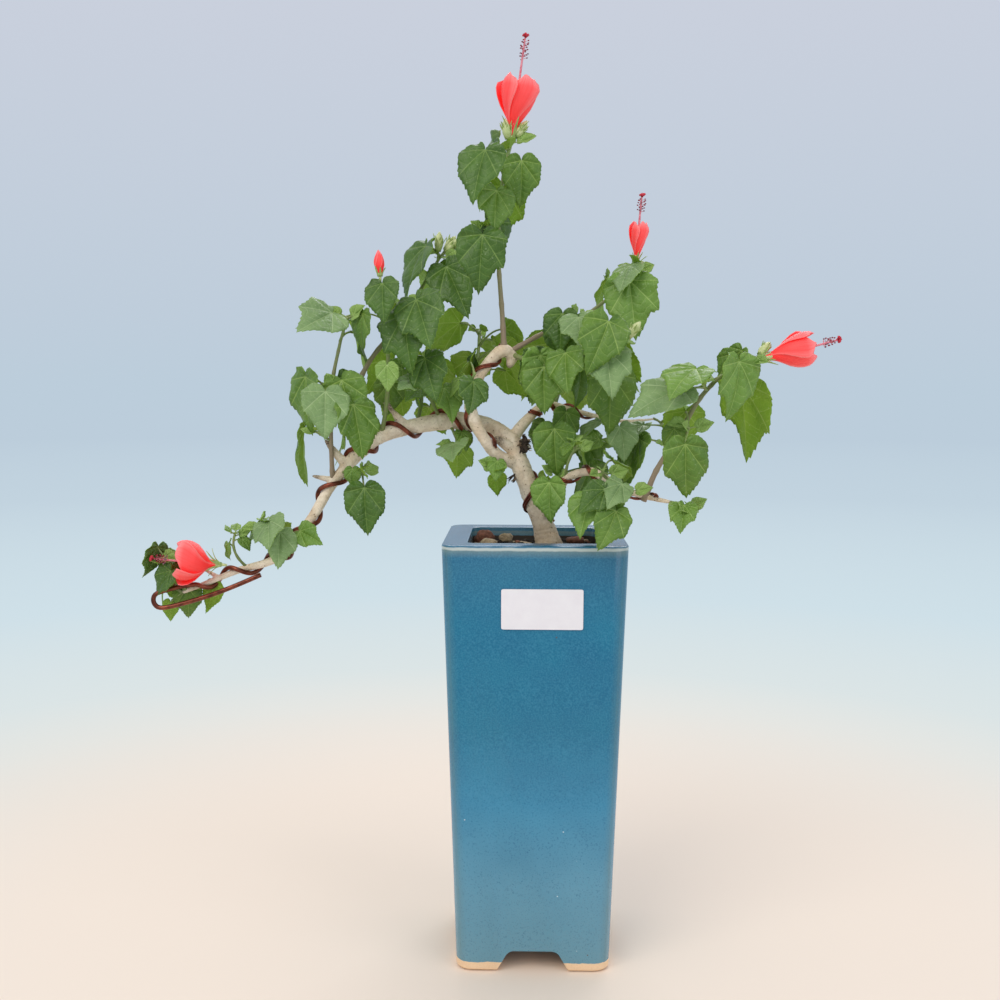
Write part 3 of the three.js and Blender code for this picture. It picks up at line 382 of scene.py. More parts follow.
# Meshes from arrays
class Gather:
    # faces of many small parts that become one mesh
    def __init__(self):
        self.points, self.faces, self.looks, self.charts, self.marks = [], [], [], [], []
        self.count = 0

    def add(self, points, faces, look=0, chart=None, mark=0.0):
        # the corners of a new part, and the first faces over them
        points = np.asarray(points, float)
        self.first, self.count = self.count, self.count + len(points)
        self.points.append(points)
        self.charts.append(np.zeros((len(points), 2)) if chart is None else chart)
        self.marks.append(np.broadcast_to(np.asarray(mark, float), len(points)))
        self.extend(faces, look)

    def extend(self, faces, look=0):
        # more faces over the corners of the last part
        self.faces.append(faces + self.first)
        self.looks.append(np.full(len(faces), look))

    def triangles(self):
        return sum(len(f) * (f.shape[1] - 2) for f in self.faces)

    def build(self, name, looks, markName=None):
        mesh = bpy.data.meshes.new(name)
        corners = np.concatenate([f.ravel() for f in self.faces])
        sizes = np.concatenate([np.full(len(f), f.shape[1]) for f in self.faces])
        mesh.vertices.add(self.count)
        mesh.vertices.foreach_set("co", toRow(np.concatenate(self.points)).ravel())
        mesh.loops.add(len(corners))
        mesh.loops.foreach_set("vertex_index", corners)
        mesh.polygons.add(len(sizes))
        mesh.polygons.foreach_set("loop_start", np.concatenate([[0], np.cumsum(sizes)[:-1]]))
        mesh.update(calc_edges=True)
        for look in looks:
            mesh.materials.append(look)
        mesh.polygons.foreach_set("material_index", np.concatenate(self.looks))
        mesh.polygons.foreach_set("use_smooth", np.ones(len(sizes), bool))
        chart = mesh.uv_layers.new(name="leafChart")
        chart.data.foreach_set("uv", np.concatenate(self.charts)[corners].ravel())
        if markName:
            mark = mesh.attributes.new(markName, "FLOAT", "POINT")
            mark.data.foreach_set("value", np.concatenate(self.marks))
        mesh.validate()
        piece = bpy.data.objects.new(name, mesh)
        bpy.context.scene.collection.objects.link(piece)
        return piece


def settle(piece, slot, *nodes):
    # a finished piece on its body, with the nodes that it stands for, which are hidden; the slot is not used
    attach(piece, "root")
    if nodes:
        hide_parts(*nodes)


def gridFaces(cell):
    return np.stack([cell[:-1, :-1], cell[1:, :-1], cell[1:, 1:], cell[:-1, 1:]], -1).reshape(-1, 4)


def gridRim(cell):
    rim = np.concatenate([cell[0, :], cell[1:, -1], cell[-1, -2::-1], cell[-2:0:-1, 0]])
    return rim, np.roll(rim, -1)


def addSlab(gather, front, back, faceSets, rims, look=0, backLook=0, chart=None):
    # a closed slab: the faces of its front, the same turned over on its back, and a wall on each rim
    count = len(front)
    both = np.concatenate([front, back])
    gather.add(both, faceSets[0], look, chart if chart is None else np.concatenate([chart, chart]))
    for faces in faceSets[1:]:
        gather.extend(faces, look)
    for faces in faceSets:
        gather.extend(faces[:, ::-1] + count, backLook)
    for here, following in rims:
        gather.extend(np.stack([here, following, following + count, here + count], 1), backLook)


def guideFor(ahead, steep=0.8):
    # a direction to take crosswise from: up, but sideways for what runs up itself
    return up if abs(ahead[2]) < steep else sideways


def framesAlong(points):
    # directions across a line and along it, carried along without twisting
    last = len(points) - 1
    side, frames = None, []
    for k in range(last + 1):
        ahead = unit(points[min(k + 1, last)] - points[max(k - 1, 0)])
        if side is None:
            side = np.cross(ahead, guideFor(ahead))
        side = unit(side - ahead * np.dot(side, ahead))
        frames.append((side, np.cross(ahead, side), ahead))
    return np.array(frames).transpose(1, 0, 2)


def tube(gather, points, radii, sides, look=0, mark=0.0):
    # a closed round limb with flat ends
    points, radii = np.asarray(points, float), np.asarray(radii, float)
    across, over, _ = framesAlong(points)
    turn = (2 * np.pi * np.arange(sides) / sides)[:, None]
    ring = across[:, None] * np.cos(turn) + over[:, None] * np.sin(turn)
    skin = (points[:, None] + ring * radii[:, None, None]).reshape(-1, 3)
    marks = np.broadcast_to(np.asarray(mark, float), len(points))
    cell = np.arange(len(skin)).reshape(-1, sides)
    after = np.roll(cell, -1, 1)
    gather.add(np.concatenate([skin, points[[0, -1]]]),
               np.stack([cell[:-1], after[:-1], after[1:], cell[1:]], -1).reshape(-1, 4), look,
               mark=np.concatenate([np.repeat(marks, sides), marks[[0, -1]]]))
    hub = np.full(sides, len(skin))
    gather.extend(np.concatenate([np.stack([hub, after[0], cell[0]], 1),
                                  np.stack([hub + 1, cell[-1], after[-1]], 1)]), look)


# Limbs, by the same rule as the solids: x, y, z and radius at each change of direction
limbs = {
    "trunk": [(8.4, 0, 205, 9.4), (7.6, 0, 212, 6.9), (5, 0, 222, 5.7), (-1, -2, 238, 5.2),
              (-7, -2, 253, 4.9), (-12, 2, 268, 4.4)],
    "crown": [(-9, -2, 255, 3.3), (-19, -8, 260, 3.4), (-27, -10, 270, 3.0), (-33, -10, 284, 3.2),
              (-31, -9, 295, 2.9), (-24, -8, 307, 2.8), (-16, -6, 313.4, 3.4), (-11, -3, 310, 2.7)],
    "left": [(-12, 2, 267, 4.6), (-24, 6, 274, 4.7), (-40, 6, 277.2, 4.7), (-62, 1, 274.5, 4.1),
             (-80, -6, 269, 3.7), (-92, -11, 259, 3.4), (-103, -15, 245.5, 2.7), (-113, -18, 229, 2.5),
             (-124, -21, 214, 2.4), (-133, -22, 207, 2.1), (-150, -24, 202, 1.7), (-165, -26, 196, 1.4),
             (-178, -27, 191, 1.0)],
    "rightUpper": [(-12, 3, 268, 3.4), (-3, 7, 279, 2.6), (6, 10, 285.5, 2.0), (22, 14, 282, 1.5),
                   (46, 18, 277, 1.0), (64, 21, 278, 0.7)],
    "rightLower": [(3, -1, 225, 2.8), (11, -12, 239, 2.4), (16, -19, 249, 2.1), (28, -27, 253, 2.2),
                   (41, -36, 246, 1.9), (57, -44, 241.5, 1.3), (65, -47, 240, 0.9)],
    "top": [(-16, -6, 312, 1.6), (-17, -6, 330, 1.25), (-19, -8, 358, 1.05), (-19, -8, 378, 0.95)],
    "leftUpright": [(-103, -15, 246, 1.3), (-103, -19, 270, 1.05), (-102, -20, 296, 0.95),
                    (-98, -17, 318, 0.8)],
    "leftCrown": [(-92.5, -9, 261, 1.6), (-93, -11, 288, 1.3), (-85, -8, 307, 1.2), (-70, -3, 327, 1.05),
                  (-59, 1, 345, 0.9)],
    "rightTop": [(-13, -5, 313, 1.4), (5, 2, 323, 1.1), (24, 8, 331, 1.0), (38, 12, 341, 0.85)],
    "farRight": [(53, -43, 242, 1.5), (58, -45, 255, 1.3), (68, -47, 272, 1.2), (78, -48, 290, 1.1),
                 (86, -47, 299, 1.0)],
}
# the nodes that each old limb and each young one stands for
oldWood = {"trunk": ["trunk"], "crown": ["bough_crown"], "left": ["bough_left_inner", "bough_left_outer"],
           "rightUpper": ["bough_right_upper"], "rightLower": ["bough_right_lower"]}
youngWood = {"top": "stem_top", "leftUpright": "stem_left_upright", "leftCrown": "stem_left_crown",
             "rightTop": "stem_right_top", "farRight": "stem_far_right"}
# dead twigs and stumps: limb, place along it, which way it points, length, radius
stubs = [
    ("trunk", 0.92, (-0.9, -0.5, 0.5), 9, 2.6), ("trunk", 0.6, (0.8, -0.6, 0.3), 6.5, 1.4),
    ("left", 0.262, (-0.75, -0.5, 0.65), 15, 1.3), ("left", 0.28, (-0.45, -0.5, 0.9), 12, 1.1),
    ("left", 0.446, (-0.7, -0.3, 0.8), 13, 1.9), ("left", 0.49, (-0.8, -0.2, 0.1), 9, 1.3),
    ("left", 0.67, (-0.9, -0.4, 0.3), 17, 1.3), ("left", 0.7, (-0.8, -0.6, 0.9), 12, 1.0),
    ("left", 0.884, (-0.9, 0.4, 0.3), 10, 0.9), ("crown", 0.98, (-0.3, 0.2, -0.9), 4, 2.2),
]


class Limb:
    # a smooth line through the points of a limb, centripetal as in the solids
    def __init__(self, rows):
        self.points = np.array([row[:3] for row in rows], float)
        self.radii = np.array([row[3] for row in rows], float)
        self.last = len(rows) - 1

    def step(self, share):
        k = min(int(math.floor(self.last * share)), self.last - 1)
        return k, self.last * share - k

    def at(self, share):
        points = self.points
        k, t = self.step(share)
        b, c = points[k], points[k + 1]
        a = points[k - 1] if k > 0 else 2 * points[0] - points[1]
        d = points[k + 2] if k + 2 <= self.last else 2 * points[-1] - points[-2]
        before, between, after = (float(np.dot(q - p, q - p)) ** 0.25 for p, q in ((a, b), (b, c), (c, d)))
        leave = ((b - a) / before - (c - a) / (before + between) + (c - b) / between) * between
        reach = ((c - b) / between - (d - b) / (between + after) + (d - c) / after) * between
        return (b + leave * t + (-3 * b + 3 * c - 2 * leave - reach) * t ** 2
                + (2 * b - 2 * c + leave + reach) * t ** 3)

    def radius(self, share):
        k, t = self.step(share)
        return self.radii[k] + (self.radii[k + 1] - self.radii[k]) * t

    def samples(self, steps, start=0.0, end=1.0):
        shares = start + (end - start) * np.arange(steps + 1) / steps
        return np.array([self.at(s) for s in shares]), np.array([self.radius(s) for s in shares])


lines = {name: Limb(rows) for name, rows in limbs.items()}


def dealer(seed):
    # the same even numbers as the solids were dealt
    state = seed * 7919

    def deal():
        nonlocal state
        state = (state * 16807) % 2147483647
        return state / 2147483647

    deal()
    deal()
    return deal


def spread(deal, amount):
    return amount * (2 * deal() - 1)


def anyWay(deal):
    # a place in a box about the origin, 2 wide each way
    return np.array([spread(deal, 1) for _ in range(3)])


# Shoots, one for each mass of leaves: limb, place on it, bend of the stem, its tip, stem radii, leaves,
# first leaf's place, blade length at foot and tip, turn of the first leaf, droop and seed
shoots = {
    "top": ("top", 1, (-18, -7, 400), (-13, -4, 417), (1.0, 0.9), 5, 0.07, (20, 38), 195, 71, 283),
    "top_low": ("top", 0.88, (-22, -12, 370), (-25, -13, 374), (0.9, 0.7), 2, 0.17, (25, 41), 110, 64, 905),
    "left_upright": ("leftUpright", 1, (-96, -16, 324), (-95, -15, 330),
                     (0.8, 0.7), 4, 0.11, (34, 18), 255, 26, 229),
    "left_outer": ("leftUpright", 0.62, (-104, -25, 291), (-105, -26, 295),
                   (0.8, 0.7), 5, 0.15, (23, 26), 160, 59, 937),
    "left_outer_low": ("leftUpright", 0.3, (-107, -20, 270), (-109, -20, 272),
                       (0.7, 0.6), 2, 0.43, (27, 38), 225, 59, 247),
    "left_inner": ("left", 0.33, (-70, -20, 303), (-78, -17, 346),
                   (1.2, 0.7), 5, 0.27, (17, 23), 45, 70, 21),
    "left_crown": ("leftCrown", 1, (-55, 3, 352), (-49, 4, 362),
                   (0.9, 0.7), 4, 0.05, (28, 30), 195, 35, 797),
    "left_crown_low": ("leftCrown", 0.72, (-68, -8, 333), (-66, -10, 337),
                       (0.9, 0.7), 4, 0.05, (26, 30), 40, 63, 570),
    "left_middle": ("left", 0.2, (-56, -4, 292), (-60, -8, 308),
                    (1.0, 0.7), 6, 0.32, (19, 19), 235, 28, 338),
    "right_top": ("rightTop", 1, (46, 13, 347), (52, 14, 357), (0.9, 0.8), 4, 0.11, (28, 28), 255, 50, 538),
    "right_top_low": ("rightTop", 0.5, (18, 0, 328), (22, -3, 331),
                      (0.9, 0.7), 4, 0.24, (21, 24), 20, 62, 324),
    "right_middle": ("crown", 0.94, (14, -18, 300), (44, -26, 316),
                     (1.3, 0.8), 9, 0.05, (24, 28), 140, 73, 456),
    "far_right": ("farRight", 1, (94, -44, 304), (105, -42, 308),
                  (1.0, 0.9), 4, 0.06, (42, 18), 170, 72, 398),
    "far_right_inner": ("farRight", 0.86, (79, -54, 294), (78, -56, 297),
                        (0.9, 0.7), 2, 0.12, (36, 25), 285, 29, 543),
    "far_right_low": ("farRight", 0.55, (71, -53, 274), (72, -55, 276),
                      (0.9, 0.7), 3, 0.11, (16, 30), 315, 72, 178),
    "right_inner": ("rightUpper", 0.58, (14, 8, 276), (9, -2, 266),
                    (0.9, 0.7), 4, 0.05, (13, 30), 225, 61, 568),
    "right_mid": ("rightUpper", 0.72, (40, 6, 276), (42, -4, 266),
                  (0.9, 0.7), 4, 0.15, (20, 22), 335, 30, 57),
    "right_end": ("rightUpper", 1, (70, 16, 276), (68, 4, 264),
                  (0.7, 0.6), 4, 0.11, (22, 23), 235, 45, 291),
    "low_twig": ("rightLower", 0.32, (15, -24, 258), (21, -24, 266),
                 (0.8, 0.6), 2, 0.49, (14, 11), 140, 32, 36),
    "low_middle": ("rightLower", 0.63, (31, -33, 254), (33, -36, 253),
                   (0.8, 0.7), 2, 0.31, (17, 21), 305, 32, 878),
    "low_front": ("rightLower", 0.7, (44, -46, 246), (45, -50, 245),
                  (0.8, 0.7), 4, 0.4, (14, 22), 340, 37, 832),
    "low_end": ("rightLower", 1, (70, -52, 240), (73, -54, 238),
                (0.8, 0.6), 3, 0.19, (11, 15), 55, 33, 425),
    "trunk_right": ("trunk", 0.62, (8, -8, 246), (11, -12, 250),
                    (0.9, 0.6), 3, 0.21, (13, 22), 245, 59, 685),
    "trunk_left": ("crown", 0.08, (-16, -12, 255), (-20, -14, 253),
                   (0.8, 0.6), 2, 0.22, (17, 12), 290, 58, 122),
    "under_left": ("left", 0.19, (-38, -2, 266), (-42, -5, 262),
                   (0.9, 0.6), 3, 0.18, (12, 18), 315, 25, 596),
    "left_low": ("left", 0.66, (-127, -26, 222), (-137, -26, 226),
                 (0.9, 0.6), 7, 0.05, (15, 18), 250, 26, 399),
    "left_hanging": ("left", 0.47, (-92, -22, 254), (-86, -24, 252),
                     (0.8, 0.6), 2, 0.67, (12, 24), 310, 69, 177),
    "left_far": ("left", 0.81, (-154, -28, 212), (-150, -28, 222),
                 (0.8, 0.6), 4, 0.4, (11, 9), 310, 72, 208),
    "left_tip": ("left", 1, (-184, -28, 196), (-189, -28, 208),
                 (0.8, 0.6), 7, 0.05, (16, 16), 190, 71, 589),
    "hook": ("crown", 0.55, (-33, -20, 298), (-30, -20, 302), (0.8, 0.6), 3, 0.2, (16, 20), 300, 35, 859),
    "back_left": ("left", 0.25, (-58, 24, 292), (-64, 34, 312), (1.2, 0.8), 8, 0.25, (26, 26), 40, 45, 41),
    "back_middle": ("crown", 0.47, (-30, 20, 308), (-30, 34, 326),
                    (1.2, 0.8), 7, 0.3, (26, 26), 80, 45, 42),
    "back_right": ("rightUpper", 0.46, (16, 30, 300), (22, 40, 318),
                   (1.1, 0.8), 7, 0.3, (26, 26), 120, 45, 43),
}
# where a flower points, its petals' length and width, its column, and where it sits if not on the tip
flowers = {"top": ((7, 1, 51), 24, 21, 20), "left_inner": ((-1, 0, 16), 9, 4.5, 0),
           "right_top": ((3, 0, 36), 17, 10, 14), "far_right": ((39, 2, 10), 21, 17, 12),
           "left_tip": ((-38, -4, 4), 16, 18, 12, (-157, -31, 206))}
openFlowers = {"left_tip": 1.0}  # flowers whose petals have come apart, and by how much
buds = {"top": 2, "left_crown": 3, "right_middle": 1, "far_right": 1}
bareTips = ("hook", "left_inner")  # shoots with no unfolding leaves at the tip
# how a leaf stands, by the same rule as in the solids
habit = {"stalk": 0.55, "fold": 0.16, "curl": 0.2, "thick": 0.014, "leastThick": 0.4, "tries": 6,
         "tryTurn": 40, "tryShrink": 0.05, "nearEnough": 0.35}


class Shoot:
    # the stem of one mass of leaves, a curve from its limb over a bend to its tip
    def __init__(self, name, row):
        (limb, place, bend, tip, self.stem, self.leaves, self.first, self.blade, self.turn, self.droop,
         self.seed) = row
        self.light = np.array([0, 1 if name.startswith("back") else -1, 0.5])
        self.bend, self.tip = np.array(bend, float), np.array(tip, float)
        centre = lines[limb].at(place)
        away = unit(self.bend - centre)
        self.start = centre + away * (0.3 if place == 1 else 0.6 * lines[limb].radius(place))

    def at(self, share):
        return ((1 - share) ** 2 * self.start + 2 * share * (1 - share) * self.bend + share ** 2 * self.tip)

    def ahead(self, share):
        step = 0.0001
        return unit(self.at(min(share + step, 1)) - self.at(max(share - step, 0)))


def leafAt(foot, neck, base, tipward, face, blade, roll=0.0):
    # where a leaf stands, its face made square to the blade and then rolled about it
    face = unit(face - tipward * np.dot(face, tipward))
    face = face * math.cos(roll) + np.cross(tipward, face) * math.sin(roll)
    return {"foot": foot, "neck": neck, "base": base, "tipward": tipward, "face": face,
            "across": np.cross(tipward, face), "blade": blade}


def leafPlace(shoot, along, turn, blade, droop, stalk, roll):
    foot, ahead = shoot.at(along), shoot.ahead(along)
    side = unit(np.cross(ahead, guideFor(ahead, 0.9)))
    turn, fall = math.radians(turn), math.radians(droop)
    radial = side * math.cos(turn) + np.cross(ahead, side) * math.sin(turn)
    out = unit((radial + ahead * 0.35) * (1, 1, 0))
    lift = unit(radial + ahead * 0.4 + up * 0.45)
    neck = foot + lift * stalk * 0.6 + out * stalk * 0.1
    base = neck + out * stalk * 0.38 - up * stalk * 0.06
    tipward = out * math.cos(fall) - up * math.sin(fall)
    face = out + shoot.light * 1.3 + up * 0.4
    return leafAt(foot, neck, base, tipward, face, blade, math.radians(roll))


def leafOptions(shoot):
    deal = dealer(shoot.seed)
    for k in range(shoot.leaves):
        share = (k + 0.5 + spread(deal, 0.45)) / shoot.leaves
        along = shoot.first + (1 - shoot.first) * share
        turn = shoot.turn + goldenTurn * k + spread(deal, 50)
        blade = (shoot.blade[0] + (shoot.blade[1] - shoot.blade[0]) * share) * (1 + spread(deal, 0.28))
        droop = shoot.droop + spread(deal, 26)
        stalk = blade * (habit["stalk"] + spread(deal, 0.25))
        roll = spread(deal, 30)
        yield [leafPlace(shoot, along, turn + habit["tryTurn"] * go, blade * (1 - habit["tryShrink"] * go),
                         droop, stalk, roll) for go in range(habit["tries"])]


def pointTree(points):
    tree = kdtree.KDTree(len(points))
    for k, point in enumerate(points):
        tree.insert(point, k)
    tree.balance()
    return tree


def meshPoints(mesh):
    # the corners of a mesh in millimetres
    points = np.empty(len(mesh.vertices) * 3)
    mesh.vertices.foreach_get("co", points)
    return (points.reshape(-1, 3) - potCentre) / metre


def leavesOf(name, shoot):
    # each leaf takes the first try whose tip is a corner of the solid mass
    corners = pointTree(meshPoints(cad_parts["foliage_" + name].data))
    for options in leafOptions(shoot):
        for place in options:
            length = place["blade"]
            thick = max(habit["thick"] * length, habit["leastThick"])
            end = place["base"] + (place["tipward"] - place["face"] * habit["curl"]) * length
            near = min(corners.find(Vector(end + place["face"] * thick * side / 2))[2] for side in (1, -1))
            if near < habit["nearEnough"]:
                yield place
                break


grown = {name: Shoot(name, row) for name, row in shoots.items()}
leafRows = {name: list(leavesOf(name, shoot)) for name, shoot in grown.items()}
print("leaves placed:", sum(len(rows) for rows in leafRows.values()))

# Leaves. The outline is for a blade 1 long: angle from the tip, seen from the stalk, and reach there.
# A lobe is its share of the swelling, its angle and its width. Lean and broad are how far a blade may
# differ to either side, and wave is the least and the range of its ripples.
leafShape = {
    "outline": [(0, 1.0), (5, 0.92), (11, 0.82), (18, 0.755), (27, 0.685), (36, 0.65), (45, 0.605),
                (55, 0.545), (66, 0.49), (78, 0.455), (92, 0.385), (107, 0.325), (124, 0.275),
                (142, 0.215), (156, 0.14), (168, 0.05)],
    "veins": [0, 36, 78, 124, 168], "raysBetween": [18, 14, 11, 5], "rings": 8, "teeth": 0.032, "lobe": 0.075,
    "lobes": [(1, 37, 8), (0.6, 80, 10), (-0.7, 21, 9), (-0.4, 58, 9)], "fullLobes": 24, "lean": 0.12,
    "broad": 0.08, "wave": (0.014, 0.03), "bulge": 0.034, "edgeDrop": 0.16, "thick": 0.22, "fineFrom": 13,
}
coarseShape = leafShape | {"raysBetween": [count // 2 for count in leafShape["raysBetween"]], "rings": 4}


def leafTemplate(shape, toothRays):
    # rays from the stalk, one on each main vein, and rings across them; a tooth every few rays
    angles, between = [0.0], [0.0]
    for start, end, count in zip(shape["veins"], shape["veins"][1:], shape["raysBetween"]):
        for k in range(1, count + 1):
            angles.append(start + (end - start) * (k / count) ** (1.0 if start else 1.25))
            between.append(math.sin(math.pi * k / count))
    angles = np.array(angles)
    reach = np.interp(angles, *zip(*shape["outline"]))
    tooth = np.arange(len(angles)) % toothRays / (toothRays - 1)
    angle = np.radians(np.concatenate([-angles[:0:-1], angles]))
    reach, puff, tooth = (np.concatenate([a[:0:-1], a])[:, None] for a in (reach, np.array(between), tooth))
    rings = shape["rings"]
    share = (np.arange(1, rings + 1) / rings) ** 0.9
    spokes = len(angle)
    quilt = (puff * np.sin(np.pi * np.minimum(share, 0.98)) ** 0.5
             * (0.7 + 0.3 * np.cos(2 * np.pi * share * 3.5)))
    form = {"x": np.sin(angle)[:, None] * reach * share, "y": np.cos(angle)[:, None] * reach * share,
            "r": np.broadcast_to(share, (spokes, rings)), "quilt": quilt,
            "ray": np.repeat(np.arange(spokes), rings), "tooth": tooth * share ** (rings * 1.6)}
    form = {name: np.concatenate([[0], values.ravel()]) for name, values in form.items()}
    cell = 1 + np.arange(spokes * rings).reshape(spokes, rings)
    rim = np.concatenate([[0], cell[0], cell[1:-1, -1], cell[-1, ::-1]])
    fan = np.stack([np.zeros(spokes - 1, int), cell[1:, 0], cell[:-1, 0]], 1)
    return form | {"faceSets": [fan, gridFaces(cell)], "rim": (rim, np.roll(rim, -1))}


fineLeaf = leafTemplate(leafShape, 3)
coarseLeaf = leafTemplate(coarseShape, 2)


def addBlade(gather, place, form, deal, look, fold=None, curl=None):
    shape, length, r = leafShape, place["blade"], form["r"]
    angle = np.degrees(np.arctan2(form["x"], form["y"]))
    lean, phase = spread(deal, shape["lean"]), 2 * math.pi * deal()
    wave = shape["wave"][0] + shape["wave"][1] * deal()
    broad = 1 + spread(deal, shape["broad"])
    cup = habit["fold"] * (0.5 + deal()) if fold is None else fold
    bow = habit["curl"] * (0.9 + 0.6 * deal()) if curl is None else curl
    # each half has its own lobes, and no two teeth are the same
    lobed = shape["lobe"] * np.where(angle > 0, deal(), deal()) * min(length / shape["fullLobes"], 1.3)
    swell = sum(share * np.exp(-((np.abs(angle) - middle) / width) ** 2)
                for share, middle, width in shape["lobes"])
    ragged = 0.35 + 1.1 * np.abs(np.sin(form["ray"] * 2.9 + phase))
    grow = 1 + lobed * swell * r - shape["teeth"] * form["tooth"] * ragged
    x, y = form["x"] * grow, form["y"] * grow
    ripple = np.sin(np.radians(4 * angle) + phase) + 0.6 * np.sin(np.radians(9 * angle) - phase)
    rise = (cup * np.abs(x) - bow * y * y - shape["edgeDrop"] * x * x + shape["bulge"] * form["quilt"]
            + wave * ripple * r ** 2)
    x = x * broad + lean * y * y * (y > 0)
    points = (place["base"] + np.outer(x * length, place["across"]) + np.outer(y * length, place["tipward"])
              + np.outer(rise * length, place["face"]))
    thick = min(shape["thick"], 0.012 * length)
    addSlab(gather, points, points - place["face"] * thick, form["faceSets"], [form["rim"]], look,
            underside, np.stack([form["x"], form["y"]], 1))


def bezier(a, b, c, steps):
    t = np.linspace(0, 1, steps + 1)[:, None]
    return (1 - t) ** 2 * a + 2 * t * (1 - t) * b + t ** 2 * c


# a leaf's stalk: its least radius, how that grows with the blade, its swelling towards both ends, and
# how far its end is sunk under the blade
stalkShape = {"radius": 0.3, "perBlade": 0.011, "swelling": [1.7, 1.2, 1, 0.95, 0.92, 0.9, 0.95, 1.05, 0.8],
              "past": 0.4, "sunk": 0.35}


def addStalk(gather, place, age):
    shape = stalkShape
    end = place["base"] + place["tipward"] * shape["past"] - place["face"] * shape["sunk"]
    radii = (shape["radius"] + shape["perBlade"] * place["blade"]) * np.array(shape["swelling"])
    tube(gather, bezier(place["foot"], place["neck"], end, len(radii) - 1), radii, 6, mark=age)


# the greens dealt to small leaves, to those that look up and to all others, each up to a share; those that
# look up mostly take a pale grey-green, partly their bloom and partly painted sheen of the sky
greens = {"smallBlade": 15, "upFrom": 0.62,
          "small": [(0.5, freshGreen), (0.7, youngGreen), (1, midGreen)],
          "up": [(0.7, sheenPaintedGreen), (0.88, midGreen), (1, freshGreen)],
          "other": [(0.36, darkGreen), (0.88, midGreen), (1, freshGreen)]}


def greenOf(place, pick):
    kind = "up" if place["face"][2] > greens["upFrom"] else "other"
    kind = "small" if place["blade"] < greens["smallBlade"] else kind
    return next(green for share, green in greens[kind] if pick < share)


middleSpan = (-52, 18)  # the middle piece takes the shoots that start between these
leafPieces = {"leaves_" + side: {"gather": Gather(), "nodes": []} for side in ("left", "middle", "right")}
# unfolding young leaves at a shoot's tip: how many, the last one's place and the gap between them, the
# least and the range of their length, droop and stalk, and their roll, fold and curl
unfolding = {"count": 3, "last": 0.99, "gap": 0.05, "ranges": [(5.5, 4), (-30, 45), (2.5, 2)], "roll": 40,
             "fold": 0.55, "curl": -0.1}
# the stems: how far they are sunk in what bears them, their swellings, and their skin's age from foot to
# tip, 0 green and 1 corky
shootStem = {"sunk": 1.2, "swelling": 0.12, "waves": 22, "steps": 12, "age": (0.45, 0.1)}
limbStem = {"sunk": 2, "joint": 0.16, "jointEvery": 10, "jointWidth": 1.2, "steps": 60, "age": (0.95, 0.45)}
twigs = Gather()
for name, shoot in grown.items():
    piece = list(leafPieces.values())[np.searchsorted(middleSpan, shoot.start[0])]
    piece["nodes"].append("foliage_" + name)
    deal = dealer(shoot.seed + 77)
    for place in leafRows[name]:
        form = fineLeaf if place["blade"] > leafShape["fineFrom"] else coarseLeaf
        addBlade(piece["gather"], place, form, deal, greenOf(place, deal()))
        addStalk(twigs, place, 0.1 + 0.2 * deal())
    shares = np.linspace(0, 1, shootStem["steps"] + 1)
    points = np.array([shoot.at(s) for s in shares])
    points[0] -= unit(points[1] - points[0]) * shootStem["sunk"]
    radii = shoot.stem[0] + (shoot.stem[1] - shoot.stem[0]) * shares
    radii = radii * (1 + shootStem["swelling"] * np.cos(shares * shootStem["waves"]))
    tube(twigs, points, radii, 8, mark=np.linspace(*shootStem["age"], len(shares)))
    for k in range(0 if name in bareTips else unfolding["count"]):
        blade, droop, stalk = (least + reach * deal() for least, reach in unfolding["ranges"])
        along, turn = unfolding["last"] - unfolding["gap"] * k, shoot.turn + goldenTurn * (k + 0.5)
        place = leafPlace(shoot, along, turn, blade, droop, stalk, unfolding["roll"] * (deal() - 0.5))
        addBlade(piece["gather"], place, coarseLeaf, deal, youngGreen, unfolding["fold"], unfolding["curl"])
        addStalk(twigs, place, 0.05)

# a few more leaves about the tip of the left bough: share of the bough, foot and tip of the blade,
# which way it faces, and its green
tipLeaves = [(0.985, (-181.4, -34, 203.1), (-192, -34, 191.9), (-0.3, -1, 0.5), darkGreen),
             (0.965, (-175.9, -25, 193), (-174.8, -25, 176.8), (0.2, -1, 0.15), midGreen),
             (0.92, (-162.7, -24, 195), (-164.5, -24, 180.1), (0.5, 1, 0.3), midGreen),
             (0.99, (-184.5, -25, 186), (-184.7, -25, 176), (-0.2, 1, 0.5), freshGreen),
             (0.99, (-189, -29, 214.5), (-193, -29, 197.5), (1, -0.5, 0.2), darkGreen)]
deal = dealer(91)
for share, base, tip, facing, look in tipLeaves:
    foot, base, tip = lines["left"].at(share), np.array(base, float), np.array(tip, float)
    place = leafAt(foot, (foot + base) / 2 + up, base, unit(tip - base), np.array(facing, float),
                   np.linalg.norm(tip - base))
    addBlade(leafPieces["leaves_left"]["gather"], place, fineLeaf, deal, look)
    addStalk(twigs, place, 0.15)
print("leaf triangles:", {name: piece["gather"].triangles() for name, piece in leafPieces.items()})


